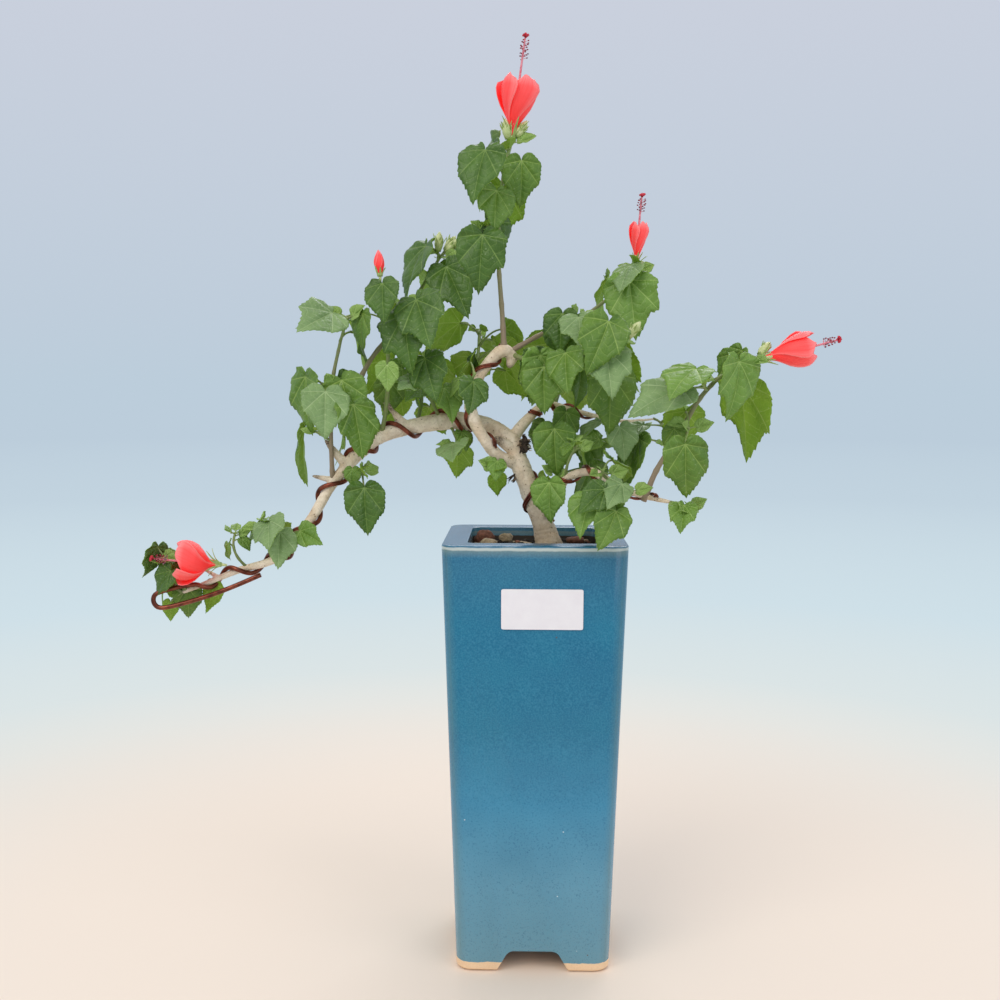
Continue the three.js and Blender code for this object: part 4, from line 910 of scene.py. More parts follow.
# Flowers and buds
def addSheet(gather, grid, thick, look=0, chart=None, ring=False):
    # a closed thin sheet over a grid of points; a ring has its last row beside its first
    rows, columns = grid.shape[:2]
    along = (np.roll(grid, -1, 0) - np.roll(grid, 1, 0)) if ring else np.gradient(grid, axis=0)
    normal = np.cross(along, np.gradient(grid, axis=1))
    normal /= np.maximum(np.linalg.norm(normal, axis=-1, keepdims=True), 1e-9)
    cell = np.arange(rows * columns).reshape(rows, columns)
    rims = [gridRim(cell)]
    if ring:
        cell = np.concatenate([cell, cell[:1]])
        rims = [(cell[:-1, -1], cell[1:, -1]), (cell[1:, 0], cell[:-1, 0])]
    if chart is None:
        u, v = np.meshgrid(np.linspace(0, 1, rows), np.linspace(0, 1, columns), indexing="ij")
        chart = np.stack([u.ravel(), v.ravel()], 1)
    front, back = [(grid + normal * thick * side / 2).reshape(-1, 3) for side in (1, -1)]
    addSlab(gather, front, back, [gridFaces(cell)], rims, look, look, chart)


def axisFrame(ahead):
    ahead = unit(ahead)
    side = unit(np.cross(ahead, guideFor(ahead)))
    return ahead, side, np.cross(ahead, side)


def around(start, axes, rise, radius, angle):
    # a point at a rise along an axis, a radius from it and an angle round it
    ahead, side, over = axes
    rise, radius, angle = np.broadcast_arrays(rise, radius, angle)
    return (start + rise[..., None] * ahead + (radius * np.cos(angle))[..., None] * side
            + (radius * np.sin(angle))[..., None] * over)


def addBracts(start, axes, foot, length, radius, count, reach, deal, wide=0.62):
    # narrow pointed bracts in a ring, bending outwards
    v, u = np.linspace(0, 1, 9), np.linspace(-1, 1, 3)[:, None]
    width = wide * (np.sin(np.pi * (0.2 + 0.8 * v)) ** 0.6 + 0.06)
    for k in range(count):
        middle = 2 * math.pi * (k + 0.4 * deal()) / count
        far = reach * (0.5 + 0.9 * deal())
        long = length * (0.8 + 0.3 * deal())
        out = radius + far * v ** 1.8
        angle = middle + 0.3 * (deal() - 0.5) * v + u * (width / np.maximum(out, 1.0))
        lift = foot + long * v * (1 - 0.2 * far / long * v)
        addSheet(sepals, around(start, axes, lift, out + 0.15 * np.abs(u), angle), 0.28, bractLook)


def addCup(start, axes, rows, teeth=5, sides=40):
    # a green cup with pointed teeth: rise and radius rows
    angle = 2 * np.pi * np.arange(sides) / sides
    rise, radius = (np.tile(column, (sides, 1)) for column in np.array(rows, float).T)
    point = np.abs(((angle * teeth / (2 * np.pi)) % 1) - 0.5) * 2
    rise[:, -1] -= (1 - point) * rows[-1][0] * 0.35
    radius *= 1 + 0.05 * np.cos(angle * teeth)[:, None]
    addSheet(sepals, around(start, axes, rise, radius, angle[:, None]), 0.3, ring=True)


# petals as shares of the flower: how far out they lie and how far round they reach, from foot to tip.
# The open form is a flower whose petals have come apart
petalShape = {
    "rise": [0, 0.18, 0.33, 0.5, 0.66, 0.8, 0.92, 1],
    "out": [0.08, 0.11, 0.21, 0.33, 0.41, 0.44, 0.41, 0.33],
    "outOpen": [0.09, 0.13, 0.3, 0.44, 0.52, 0.54, 0.52, 0.46],
    "outBud": [0.3, 0.4, 0.5, 0.5, 0.44, 0.33, 0.17, 0.03],
    "half": [0.6, 0.75, 0.9, 1.02, 1.06, 1.0, 0.78, 0.3],
    "halfOpen": [0.5, 0.6, 0.78, 0.9, 0.95, 0.92, 0.85, 0.5],
    "petals": 5, "spiral": 0.14, "twist": 0.9, "thick": 0.26,
}
sepals, blossom = Gather(), Gather()
sepalLooks, blossomLooks = ("calyx", "bract"), ("petal", "flower_column", "anther", "spent_anther", "stigma")
bractLook = 1
columnLook, antherLook, spentLook, stigmaLook = range(1, 5)


def addFlower(start, toward, petals, width, column, deal, openness=0.0):
    axes = axisFrame(toward)
    calyx, tall = petals * 0.5, petals * 0.92
    tube(sepals, np.array([start - axes[0] * 3, start + axes[0] * 0.5]), [0.6, 0.8], 8)
    if column:
        addCup(start, axes, [(-0.6, 0.75), (0.8, width * 0.06), (calyx * 0.4, width * 0.09),
                             (calyx * 0.75, width * 0.11), (calyx * 1.12, width * 0.135)])
        addBracts(start, axes, -0.3, calyx * 1.05, width * 0.05, 6, width * 0.36, deal, wide=0.5)
    else:
        addCup(start, axes, [(-0.6, 0.6), (0.8, 1.2), (calyx * 0.6, 1.5), (calyx * 1.15, 1.9)])
        addBracts(start, axes, -0.4, calyx * 1.1, 1.1, 6, 1.6, deal, wide=0.45)
    v, u = np.linspace(0, 1, 25), np.linspace(-1, 1, 21)[:, None]
    shut = np.array(petalShape["out" if column else "outBud"])
    out = np.interp(v, petalShape["rise"], shut * (1 - openness) + np.array(petalShape["outOpen"]) * openness)
    half = np.interp(v, petalShape["rise"], petalShape["halfOpen" if openness else "half"])
    for k in range(petalShape["petals"]):
        middle = 2 * math.pi * (k + 0.15 * deal()) / petalShape["petals"]
        tip = calyx + tall * (0.92 + 0.08 * deal())
        rise = calyx * 0.3 + (tip - calyx * 0.3) * v
        angle = middle + u * half + petalShape["twist"] * v
        lay = 1 + petalShape["spiral"] * u * np.minimum(v * 2, 1)
        flare = (0.1 + 0.1 * deal()) * np.maximum(u, 0) ** 3 * v ** 2 * (column > 0)
        ruffle = 0.025 * np.sin(4 * u + 5 * v + 3 * k) * v ** 2
        lift = rise - 0.15 * tall * (u - 0.25) ** 2 * v ** 3
        grid = around(start, axes, lift, width * out * (lay + flare + ruffle), angle)
        chart = np.stack([np.repeat(u, len(v)) / 2, np.tile(v, len(u))], 1)
        addSheet(blossom, grid, petalShape["thick"], chart=chart)
    if column:
        addColumn(start, axes, calyx + tall - 3, column, deal)


def addColumn(start, axes, rim, column, deal):
    # the long pin of joined stamens, with anthers round its upper part and round stigmas at its end
    end, anthers, stigmas = rim + column + 3, 24, 9
    sway = np.sin(np.linspace(0, 2.2, 14)) * 0.5
    points = around(start, axes, np.linspace(rim - 10, end - 1.5, 14), sway, 0.6)
    tube(blossom, points, np.linspace(0.65, 0.45, 14), 8, columnLook)
    for k in range(anthers):
        share = (k + deal()) / anthers
        place = rim + column * (0.5 + 0.48 * share)
        angle = 2.4 * k + deal()
        reach = (1.5 + 0.7 * deal()) * (1.15 - 0.3 * share)
        foot, head = around(start, axes, place, 0.4, angle), around(start, axes, place + 0.7, reach, angle)
        tube(blossom, [foot, head], [0.13, 0.1], 4, columnLook)
        addPebble(blossom, head, (0.62, 0.5, 0.38), antherLook if share > 0.3 else spentLook, deal, level=1,
                  turn=angle)
    for k in range(stigmas):
        angle = 2 * math.pi * k / stigmas + 0.3 * deal()
        out = 1.3 * (0.5 + 0.6 * deal())
        foot = around(start, axes, end - 1.8, 0.2, angle)
        head = around(start, axes, end - 0.9 + 0.8 * deal(), out, angle)
        tube(blossom, [foot, head], [0.2, 0.15], 4, stigmaLook)
        addPebble(blossom, head, (0.72, 0.72, 0.62), stigmaLook, deal, level=2)


def onlyPiece(piece=None):
    bpy.ops.object.select_all(action="DESELECT")
    if piece:
        piece.select_set(True)
        bpy.context.view_layer.objects.active = piece


def dropPiece(piece):
    mesh = piece.data
    bpy.data.objects.remove(piece)
    bpy.data.meshes.remove(mesh)


def sphereShape(level):
    onlyPiece()
    bpy.ops.mesh.primitive_ico_sphere_add(subdivisions=level, radius=1)
    ball = bpy.context.object
    points = np.array([v.co[:] for v in ball.data.vertices])
    faces = np.array([p.vertices[:] for p in ball.data.polygons])
    dropPiece(ball)
    return points, faces


balls = {level: sphereShape(level) for level in (1, 2, 3)}


def spun(points, turn):
    # points turned about the vertical
    c, s = math.cos(turn), math.sin(turn)
    return points @ np.array([[c, s, 0], [-s, c, 0], [0, 0, 1]])


def addPebble(gather, centre, size, look, deal, level=3, rough=0.0, turn=0.0):
    points, faces = balls[level]
    if rough:
        seat = Vector((deal() * 90, deal() * 90, deal() * 90))
        push = np.array([noise.noise(Vector(p) * 1.3 + seat) + 0.5 * noise.noise(Vector(p) * 3.1 + seat)
                         for p in points])
        points = points * (1 + rough * push)[:, None]
    gather.add(spun(points * size, turn) + centre, faces, look)


def addBud(foot, ahead, deal):
    # a closed green bud in its bracts on a short stalk
    axes = axisFrame(ahead)
    tube(twigs, [foot, foot + axes[0] * 3, foot + axes[0] * 6], [0.6, 0.55, 0.8], 6, mark=0.1)
    rise, radius = np.array([(5, 0.7), (6.2, 1.5), (8.4, 2.1), (11, 2.0), (13.2, 1.3), (15, 0.15)]).T
    angle = (2 * np.pi * np.arange(15) / 15)[:, None]
    grid = around(foot, axes, rise, radius * (1 + 0.08 * np.cos(5 * angle)), angle)
    addSheet(sepals, grid, 0.25, ring=True)
    addBracts(foot, axes, 5.0, 8.5, 1.2, 8, 1.9, deal)


for name, shoot in grown.items():
    deal = dealer(shoot.seed + 500)
    for k in range(buds.get(name, 0)):
        turn = 2 * math.pi * deal()
        aside = np.array([math.cos(turn), math.sin(turn), 0.3]) * 0.5
        addBud(shoot.at(0.97 - 0.06 * k), shoot.ahead(0.9) + aside, deal)
    if name in flowers:
        toward, petals, width, column, *where = flowers[name]
        start = shoot.tip
        if where:
            start = np.array(where[0], float)
            tube(twigs, bezier(shoot.tip, (start + shoot.tip) / 2 + up * 4, start, 8), np.full(9, 0.75), 8,
                 mark=0.1)
        elif not column:
            # the red bud stands on a stalk of its own
            start = shoot.tip + up * 4
            tube(twigs, [shoot.tip, start], [0.7, 0.7], 6, mark=0.1)
        addFlower(start, toward, petals, width, column, deal, openFlowers.get(name, 0.0))
print("flowers and buds grown")

youngStems = Gather()
for name in youngWood:
    points, radii = lines[name].samples(limbStem["steps"])
    points[0] -= unit(points[1] - points[0]) * limbStem["sunk"]
    every = limbStem["jointEvery"]
    near = (np.arange(len(radii)) % every - every / 2) ** 2 / limbStem["jointWidth"]
    radii = radii * (1 + limbStem["joint"] * np.exp(-near))
    tube(youngStems, points, radii, 12, mark=np.linspace(*limbStem["age"], len(radii)))

for name, piece in leafPieces.items():
    settle(piece["gather"].build(name, leafMaterials), "leaf", *piece["nodes"])
settle(twigs.build("twigs_and_stalks", [materials["stem"]], "age"), "green_stem",
       *["foliage_" + name for name in shoots])
settle(youngStems.build("young_stems", [materials["stem"]], "age"), "green_stem", *youngWood.values())
settle(sepals.build("sepals_and_buds", [materials[name] for name in sepalLooks]), "leaf")
settle(blossom.build("petals_and_columns", [materials[name] for name in blossomLooks]), "petal")
print("leaves, twigs and flowers built")

# Old wood: trunk and boughs in one skin of bark. A row of its relief is the depth, on a limb of the
# middle thickness, and the size or spacing. The relief sets in over the height held above the soil, and
# the trunk flares and browns towards the soil: how much, and over what height.
barkSizes = {"voxel": 0.5, "middle": 4.2, "held": 2, "lump": (0.5, 6.5), "crease": (0.07, 3.1),
             "wart": (0.32, 1.9), "ring": (0.12, 2.1), "flare": (0.8, 3.5), "brown": (0.66, 19)}
soilTopHeight = 211.5


def nearSoil(height, most, reach):
    # a value that fades out upwards from the soil
    return most * np.exp(-np.maximum(height - soilTopHeight, 0) / reach)


def woodTubes():
    wood = Gather()
    for name in oldWood:
        points, radii = lines[name].samples(lines[name].last * 10)
        if name == "trunk":
            points[0, 2] = soilTopHeight - 2
            radii = radii + nearSoil(points[:, 2], *barkSizes["flare"])
        else:
            points[0] -= unit(points[1] - points[0]) * 1.5
        radii[-1] *= 0.7
        tube(wood, points, radii, 20)
    for limb, place, toward, length, radius in stubs:
        start = lines[limb].at(place)
        reach = unit(toward) * (lines[limb].radius(place) + length)
        knee, end = start + reach * 0.6 + up * length * 0.04, start + reach + up * length * 0.12
        points = bezier(start, knee, end, 8)
        radii = np.interp(np.linspace(0, 1, 9), [0, 0.6, 0.9, 1], np.array([1.5, 1.0, 0.65, 0.35]) * radius)
        tube(wood, points, radii, 10)
    return wood.build("bark", [materials["bark"]])


def applyModifier(piece, kind, **settings):
    onlyPiece(piece)
    modifier = piece.modifiers.new("step", kind)
    for name, value in settings.items():
        setattr(modifier, name, value)
    bpy.ops.object.modifier_apply(modifier=modifier.name)


def woodLines():
    # places on every limb and stub, and for each the distance along, the radius and how dead it is
    rows = []
    for name in oldWood:
        points, radii = lines[name].samples(240)
        along = np.concatenate([[0], np.cumsum(np.linalg.norm(np.diff(points, axis=0), axis=1))])
        rows.append((points, along, radii, np.zeros(len(points))))
    for limb, place, toward, length, radius in stubs:
        shares = np.linspace(0.25, 1, 20)
        along = shares * (lines[limb].radius(place) + length)
        rows.append((lines[limb].at(place) + np.outer(along, unit(toward)), along, np.full(20, radius),
                     np.clip((shares - 0.55) * 3, 0, 0.85)))
    limbGap = 1000  # keeps the rings of one limb out of step with the next one's
    rows = [(points, along + k * limbGap, radii, dead) for k, (points, along, radii, dead) in enumerate(rows)]
    return [np.concatenate(column) for column in zip(*rows)]


def carveBark(piece, sizes):
    mesh = piece.data
    count = len(mesh.vertices)
    points, normals = meshPoints(mesh), np.empty(count * 3)
    mesh.vertices.foreach_get("normal", normals)
    places, alongs, thick, dead = woodLines()
    tree = pointTree(places)
    push, hollow, gone = np.zeros((3, count))
    for k, point in enumerate(points):
        place = Vector(point)
        index = tree.find(place)[1]
        along = alongs[index]
        scale = min(max(thick[index] / sizes["middle"], 0.35), 1.25)
        lump = noise.noise(place / sizes["lump"][1])
        deep = min(abs(noise.noise(place / sizes["crease"][1])) * 4, 1) - 1
        wart = max(noise.noise(place / sizes["wart"][1] + Vector((40, 0, 0))) - 0.42, 0) * 2.6
        ring = math.sin(along * sizes["ring"][1] + 5 * lump) * (0.5 + noise.noise(Vector((along / 4, 3, 0))))
        push[k] = scale * (sizes["lump"][0] * lump + sizes["crease"][0] * deep
                           + sizes["wart"][0] * min(wart, 1) + sizes["ring"][0] * ring)
        # painted shade: darker in the creases and in the hollows between the lumps
        hollow[k] = min(max(-deep * 0.22 + max(-lump, 0) * 0.45, 0), 0.6)
        gone[k] = dead[index]
    # the wood under the soil and the cut at its foot stay as they are
    held = np.clip((points[:, 2] - soilTopHeight) / sizes["held"], 0, 1)
    points += normals.reshape(-1, 3) * (push * held)[:, None]
    mesh.vertices.foreach_set("co", toRow(points).ravel())
    # the trunk is browner towards the soil, but the left bough, which hangs as low, isn't
    low = nearSoil(points[:, 2], *sizes["brown"]) * (points[:, 0] > -25)
    for label, values in zip(barkMarks, (hollow, gone, low)):
        mesh.attributes.new(label, "FLOAT", "POINT").data.foreach_set("value", values)
    mesh.polygons.foreach_set("use_smooth", np.ones(len(mesh.polygons), bool))
    mesh.update()


bark = woodTubes()
applyModifier(bark, "REMESH", mode="VOXEL", voxel_size=barkSizes["voxel"] * metre)
applyModifier(bark, "SMOOTH", factor=0.6, iterations=3)
carveBark(bark, barkSizes)
settle(bark, "bark", *sum(oldWood.values(), []))
print("bark carved:", len(bark.data.polygons), "faces")

# a dead knot beside the fork, fuzzy with curled shreds, and a few shreds of bark lower down:
# middle, half sizes, how many shreds, their length, and whether it has a core
clumps = [((-5.4, -3.6, 265.5), (2.3, 2.0, 4.4), 54, 2.9, True),
          ((-9.9, -4.2, 249.5), (0.6, 0.6, 0.8), 7, 6.5, False)]
shreds = Gather()
deal = dealer(83)
for middle, half, count, length, core in clumps:
    middle, half = np.array(middle), np.array(half)
    if core:
        addPebble(shreds, middle, half * 0.95, 0, deal, rough=0.5)
    for k in range(count):
        ball = anyWay(deal)
        first = middle + half * ball / max(1.0, np.linalg.norm(ball)) * 0.85
        away = unit(ball) if core else np.array([-0.5, -0.2, -0.5])
        way = unit(away + 0.7 * np.array([spread(deal, 1), spread(deal, 1), 0.6 - 2 * deal()]))
        bend = unit(anyWay(deal))
        reach = length * (0.45 + 0.6 * deal())
        line = bezier(first, first + (way + bend) * reach * 0.5, first + way * reach, 6)
        pick = deal()
        radii = (0.22 + 0.45 * deal() ** 2) * np.array([1, 1, 1.05, 1, 0.85, 0.6, 0.3])
        tube(shreds, line, radii, 5, 2 if pick > 0.92 else (1 if pick > 0.6 else 0))
settle(shreds.build("dead_shreds", [materials[name] for name in ("dead_bark", "dry_bark", "bark")]), "bark")

# Training wire: node, limb, from and to which place on it, turns, first angle, radius and strands.
# The hook is the wire's free end, which turns back under the left bough.
wires = [("wire_left", "left", 0.13, 0.955, 7.6, 40, 1.2, 1),
         ("wire_crown", "crown", 0.2, 0.86, 2.6, 200, 0.68, 2),
         ("wire_trunk", "trunk", 0.42, 0.8, 1.2, 300, 0.68, 2),
         ("wire_right_upper", "rightUpper", 0.23, 0.74, 3, 300, 0.62, 2),
         ("wire_right_lower", "rightLower", 0.3, 0.86, 3, 320, 0.62, 2)]
hook = {"turn": (-187, -31.5, 188), "turnRadius": 4.5, "end": (-137, -31.5, 201), "sag": 1.6}


def hookPoints(sizes):
    angle = np.radians(100 + 170 * np.arange(13) / 12)
    zero = np.zeros(13)
    bend = sizes["turn"] + sizes["turnRadius"] * np.stack([np.cos(angle), zero, np.sin(angle)], 1)
    share = (np.arange(1, 17) / 16)[:, None]
    rest = bend[-1] + (sizes["end"] - bend[-1]) * share - sizes["sag"] * np.sin(math.pi * share) * up
    return np.concatenate([bend, rest])


def smoothLine(points, rounds):
    for _ in range(rounds):
        points[1:-1] = (points[:-2] + 2 * points[1:-1] + points[2:]) / 4
    return points


for node, limb, start, end, turns, firstAngle, radius, strands in wires:
    wire = Gather()
    steps = round(turns * 26)
    centre, thick = lines[limb].samples(steps, start, end)
    across, over, ahead = framesAlong(centre)
    angle = (np.radians(firstAngle) + 2 * np.pi * turns * np.arange(steps + 1) / steps)[:, None]
    reach = (thick + radius + 0.35)[:, None]
    for strand in range(strands):
        shift = (strand - (strands - 1) / 2) * 2.08 * radius
        points = centre + ahead * shift + across * (reach * np.cos(angle)) + over * (reach * np.sin(angle))
        if node == "wire_left":
            points = smoothLine(np.concatenate([points, hookPoints(hook)]), 4)
        else:
            points = smoothLine(points, 1)
        tube(wire, points, np.full(len(points), radius), 10)
    settle(wire.build(node + "_wound", [materials["anodised_wire"]]), "training_wire", node)
print("wires wound")

potSizes = {"height": 218, "rim": 92, "base": 78, "corner": 8.5, "lip": 12.5, "mouthCorner": 5,
            "floorTop": 20, "floorWidth": 59, "lipRound": 6.1, "footRound": 1.2, "cutBottom": 38.4,
            "cutTop": 24.3, "cutHeight": 10.2, "cutRound": 2.6, "drain": 7.5, "edgeRound": 0.7}


def pickParts(piece, kind, wanted):
    # in edit mode, select just the faces or edges that pass the test
    form = bmesh.from_edit_mesh(piece.data)
    bpy.ops.mesh.select_all(action="DESELECT")
    for part in getattr(form, kind):
        if wanted(part):
            part.select_set(True)
    bmesh.update_edit_mesh(piece.data)


def pickFace(piece, way):
    # the faces that look up (1) or down (-1)
    pickParts(piece, "faces", lambda face: face.normal.z * way > 0.9)


def pickEdges(piece, wanted):
    # the test takes an edge's two ends in millimetres; those within a level face are let go again
    pickParts(piece, "edges", lambda edge: wanted(*[np.array(v.co) / metre for v in edge.verts]))
    form = bmesh.from_edit_mesh(piece.data)
    for edge in form.edges:
        if edge.select and all(abs(face.normal.z) > 0.9 for face in edge.link_faces):
            edge.select_set(False)
    bmesh.update_edit_mesh(piece.data)


def applyPlace(piece):
    onlyPiece(piece)
    bpy.ops.object.transform_apply(location=True, rotation=True, scale=True)


def newBlock(size, middleHeight):
    onlyPiece()
    bpy.ops.mesh.primitive_cube_add(size=1, location=(0, 0, middleHeight * metre))
    block = bpy.context.object
    block.scale = [side * metre for side in size]
    applyPlace(block)
    bpy.ops.object.mode_set(mode="EDIT")
    return block


def footCutter(sizes, angle):
    # the trapezoid notch between two feet, right through under the pot
    tall = sizes["cutHeight"] + 2
    cutter = newBlock((sizes["cutBottom"], 120, tall), sizes["cutHeight"] - tall / 2)
    pickFace(cutter, 1)
    bpy.ops.transform.resize(value=(sizes["cutTop"] / sizes["cutBottom"], 1, 1))
    pickEdges(cutter, lambda a, b: min(a[2], b[2]) > sizes["cutHeight"] - 0.01 and abs(a[1] - b[1]) > 50)
    bpy.ops.mesh.bevel(offset=sizes["cutRound"] * metre, segments=4)
    bpy.ops.object.mode_set(mode="OBJECT")
    cutter.rotation_euler[2] = angle
    applyPlace(cutter)
    return cutter


def cutWith(piece, cutter):
    applyModifier(piece, "BOOLEAN", operation="DIFFERENCE", object=cutter, solver="EXACT")
    dropPiece(cutter)


def makePot(sizes):
    tall = sizes["height"]
    pot = newBlock((sizes["rim"], sizes["rim"], tall), tall / 2)
    pot.name = "glazed_pot"
    pickFace(pot, -1)
    taper = sizes["base"] / sizes["rim"]
    bpy.ops.transform.resize(value=(taper, taper, 1))
    pickFace(pot, 1)
    bpy.ops.mesh.inset(thickness=sizes["lip"] * metre)
    depth = (tall - sizes["floorTop"]) * metre
    bpy.ops.mesh.extrude_region_move(TRANSFORM_OT_translate={"value": (0, 0, -depth)})
    narrow = sizes["floorWidth"] / (sizes["rim"] - 2 * sizes["lip"])
    bpy.ops.transform.resize(value=(narrow, narrow, 1))
    # round the upright edges outside and inside, then the lip and the foot
    outside = sizes["base"] / 2 - 1
    for wanted, size, segments in (
            (lambda a, b: abs(a[2] - b[2]) > 100 and abs(a[0]) > outside, "corner", 8),
            (lambda a, b: abs(a[2] - b[2]) > 100 and max(abs(a[:2])) < outside - 3, "mouthCorner", 5),
            (lambda a, b: min(a[2], b[2]) > tall - 0.01, "lipRound", 10),
            (lambda a, b: max(a[2], b[2]) < 0.01, "footRound", 3)):
        pickEdges(pot, wanted)
        bpy.ops.mesh.bevel(offset=sizes[size] * metre, segments=segments)
    bpy.ops.object.mode_set(mode="OBJECT")
    for angle in (0, math.pi / 2):
        cutWith(pot, footCutter(sizes, angle))
    onlyPiece()
    bpy.ops.mesh.primitive_cylinder_add(vertices=32, radius=sizes["drain"] * metre, depth=60 * metre)
    cutWith(pot, bpy.context.object)
    applyModifier(pot, "BEVEL", width=sizes["edgeRound"] * metre, segments=2, limit_method="ANGLE",
                  angle_limit=math.radians(50))
    onlyPiece(pot)
    bpy.ops.object.shade_smooth_by_angle(angle=math.radians(32))
    pot.location = Vector(potCentre)
    applyPlace(pot)
    pot.data.materials.clear()
    pot.data.materials.append(makeGlaze(glazeLook, sizes))
    return pot


settle(makePot(potSizes), "blue_glaze", "pot")
print("pot made")

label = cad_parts["label_plate"]
label.data.materials.clear()
label.data.materials.append(materials["label_paper"])

# Soil: the filling of the pot down to its floor, crumbly on top; steps is the number of points along
# a side, trunk is the place of the trunk's foot, and a row of the relief is depth, size and seat
soilSizes = {"top": soilTopHeight, "width": 65.4, "floor": 20.6, "floorWidth": 58.0, "corner": 5,
             "relief": [(0.75, 5.5, 0), (0.45, 1.5, 7)], "steps": 84, "trunk": 7.6, "grains": 520,
             "chips": 26}
soilLooks = ("moist_soil", "lava_rock", "pumice")


def soilHeight(x, y):
    return sum(depth * noise.noise(Vector((x / size, y / size, seat)))
               for depth, size, seat in soilSizes["relief"])


def makeSoil(sizes):
    gather = Gather()
    half = sizes["width"] / 2 - 0.4
    count, corner = sizes["steps"], sizes["corner"]
    ticks = np.linspace(-half, half, count)
    grid = np.array([[(x, y, soilHeight(x, y)) for y in ticks] for x in ticks], float)
    flat = np.abs(grid[..., :2])
    grid[..., 2] = sizes["top"] - 1.0 + grid[..., 2] - 0.8 * np.exp(-(half - flat.max(-1)) / 2.5)
    # pull the corners in to the rounded mouth
    over = np.maximum(flat - (half - corner), 0)
    length = np.linalg.norm(over, axis=-1)
    shrink = np.where(length > corner, corner / np.maximum(length, 1e-6), 1.0)
    grid[..., :2] = np.sign(grid[..., :2]) * (np.minimum(flat, half - corner) + over * shrink[..., None])
    low = grid.copy()
    low[..., :2] *= sizes["floorWidth"] / sizes["width"]
    low[..., 2] = sizes["floor"]
    cell = np.arange(count * count).reshape(count, count)
    addSlab(gather, grid.reshape(-1, 3), low.reshape(-1, 3), [gridFaces(cell)], [gridRim(cell)])
    return gather


def strewn(count, sizes, room, deal):
    # places on the soil, those too near the trunk left out
    half = sizes["width"] / 2 - 2.2
    for k in range(count):
        x, y = spread(deal, half), spread(deal, half)
        yield x, y, math.hypot(x - sizes["trunk"], y) > room


soilTop = makeSoil(soilSizes)
deal = dealer(71)
for x, y, clear in strewn(soilSizes["grains"], soilSizes, 9.5, deal):
    size = 0.7 + 1.5 * deal() ** 2
    kind = deal()
    if clear:
        look = 1 if kind < 0.16 else (2 if kind < 0.3 else 0)
        addPebble(soilTop, (x, y, soilSizes["top"] - 0.8 + soilHeight(x, y) + size * 0.2),
                  (size, size * (0.6 + 0.4 * deal()), size * (0.5 + 0.3 * deal())), look, deal, level=2,
                  rough=0.35, turn=6.3 * deal())
settle(soilTop.build("soil_filling", [materials[name] for name in soilLooks]), "soil", "soil")

# larger stones: centre, length, width, height, and which rock
stoneLooks = ("lava_rock", "pumice")
stones = [(-26.5, 20, 11, 9, 7, 0), (-15.5, 23, 9, 7, 5.4, 1), (-24, 2, 9, 7, 5, 1), (22, 14, 10, 8, 5, 0),
          (14, -20, 9, 7, 4.6, 1)]
stoneHeap = Gather()
for k, (x, y, long, wide, high, look) in enumerate(stones):
    addPebble(stoneHeap, (x, y, soilSizes["top"] + high * 0.36), (long / 2, wide / 2, high / 2), look, deal,
              rough=0.3, turn=1.3 * k)
settle(stoneHeap.build("stones", [materials[name] for name in stoneLooks]), "lava_stone",
       *["stone_%d" % (k + 1) for k in range(len(stones))])

# chips of bark lying about the foot of the trunk
chips = Gather()
for x, y, clear in strewn(soilSizes["chips"], soilSizes, 11, deal):
    if clear:
        long, wide, turn, curl = 3 + 5 * deal(), 1.2 + 1.6 * deal(), 6.3 * deal(), 0.5 + 1.2 * deal()
        a, b = np.meshgrid(np.linspace(-1, 1, 6), np.linspace(-1, 1, 4), indexing="ij")
        grid = np.stack([long / 2 * a, wide / 2 * b * (1 - 0.4 * a * a),
                         curl * (0.5 - b * b * 0.6) + 0.3 * a], -1)
        addSheet(chips, spun(grid, turn) + np.array([x, y, soilSizes["top"] - 0.2 + soilHeight(x, y)]), 0.5)
settle(chips.build("bark_chips", [materials["bark_chip"]]), "bark")
print("soil filled")

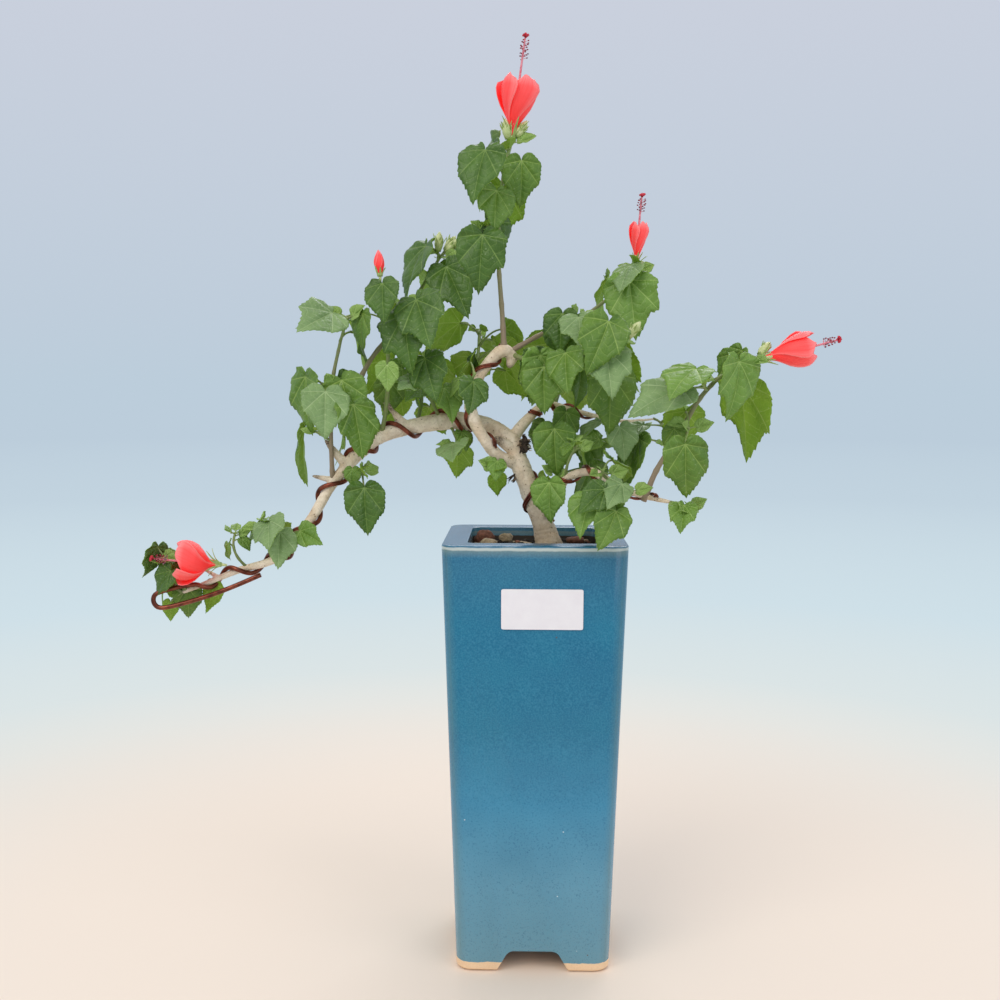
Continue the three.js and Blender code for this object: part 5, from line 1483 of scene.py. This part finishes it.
# The floor is pale and runs back so far that it fades into the room behind it. A light is its place,
# its size, its power and its tone.
studio = {
    "floorRadius": 60, "floorDrop": 0.0005, "near": "#eadac9", "fadeReach": 9.0,
    "fade": [(0.028, "#ece4db"), (0.055, "#dfe6e5"), (0.12, "#cfe0e8"), (0.3, "#c2d3df"), (0.7, "#bccddb")],
    "room": [(0.0, "#bccddb"), (0.06, "#bfcddb"), (0.3, "#cad0dd"), (0.8, "#e3e6ec")],
    "middle": (0.0, 0.0, 0.3),
    "lights": {"key_softbox": ((-0.9, -1.3, 1.6), (1.3, 1.3), 17, "#fffaf2"),
               "fill_softbox": ((1.3, -1.1, 0.9), (1.2, 1.2), 6, "#f8f8ff"),
               "back_softbox": ((0.3, 1.5, 1.4), (1.4, 1.0), 12, "#fafaff")},
}


def makeFloor(settings):
    onlyPiece()
    bpy.ops.mesh.primitive_circle_add(vertices=96, radius=settings["floorRadius"], fill_type="NGON",
                                      location=(0, 0, -settings["floorDrop"]))
    floor = bpy.context.object
    floor.name = "studio_floor"
    material, add = newMaterial("studio_floor")
    tree = material.node_tree
    shader = tree.nodes["Principled BSDF"]
    reach = add("Math DIVIDE", add("VectorMath LENGTH", add("TexCoord", out="Object")), settings["fadeReach"])
    glow = add("Emission", add("ValToRGB", reach, stops=settings["fade"]))
    share = add("ValToRGB", reach, stops=[(0.015, 0.0), (0.07, 1.0)])
    blend = add("MixShader", share, shader.outputs[0], glow)
    fillSockets(tree, [(shader.inputs["Base Color"], settings["near"]), (shader.inputs["Roughness"], 0.85),
                       (tree.nodes["Material Output"].inputs["Surface"], blend)])
    floor.data.materials.append(material)


def makeRoom(settings):
    world = bpy.data.worlds.new("soft_room")
    bpy.context.scene.world = world
    world.use_nodes = True
    tree = world.node_tree
    height = addNode(tree, "SeparateXYZ", addNode(tree, "TexCoord", out="Generated"), out="Z")
    tone = addNode(tree, "ValToRGB", height, stops=settings["room"])
    fillSockets(tree, [(tree.nodes["Background"].inputs["Color"], tone)])


def makeLight(name, target, place, size, power, tone):
    data = bpy.data.lights.new(name, "AREA")
    data.shape = "RECTANGLE"
    data.size, data.size_y = size
    data.energy = power
    data.color = linear(tone)[:3]
    light = bpy.data.objects.new(name, data)
    light.location = place
    light.rotation_euler = (Vector(target) - Vector(place)).to_track_quat("-Z", "Y").to_euler()
    bpy.context.scene.collection.objects.link(light)


makeFloor(studio)
makeRoom(studio)
for name, row in studio["lights"].items():
    makeLight(name, studio["middle"], *row)
bpy.context.scene.view_settings.view_transform = "Standard"
print("studio lit")
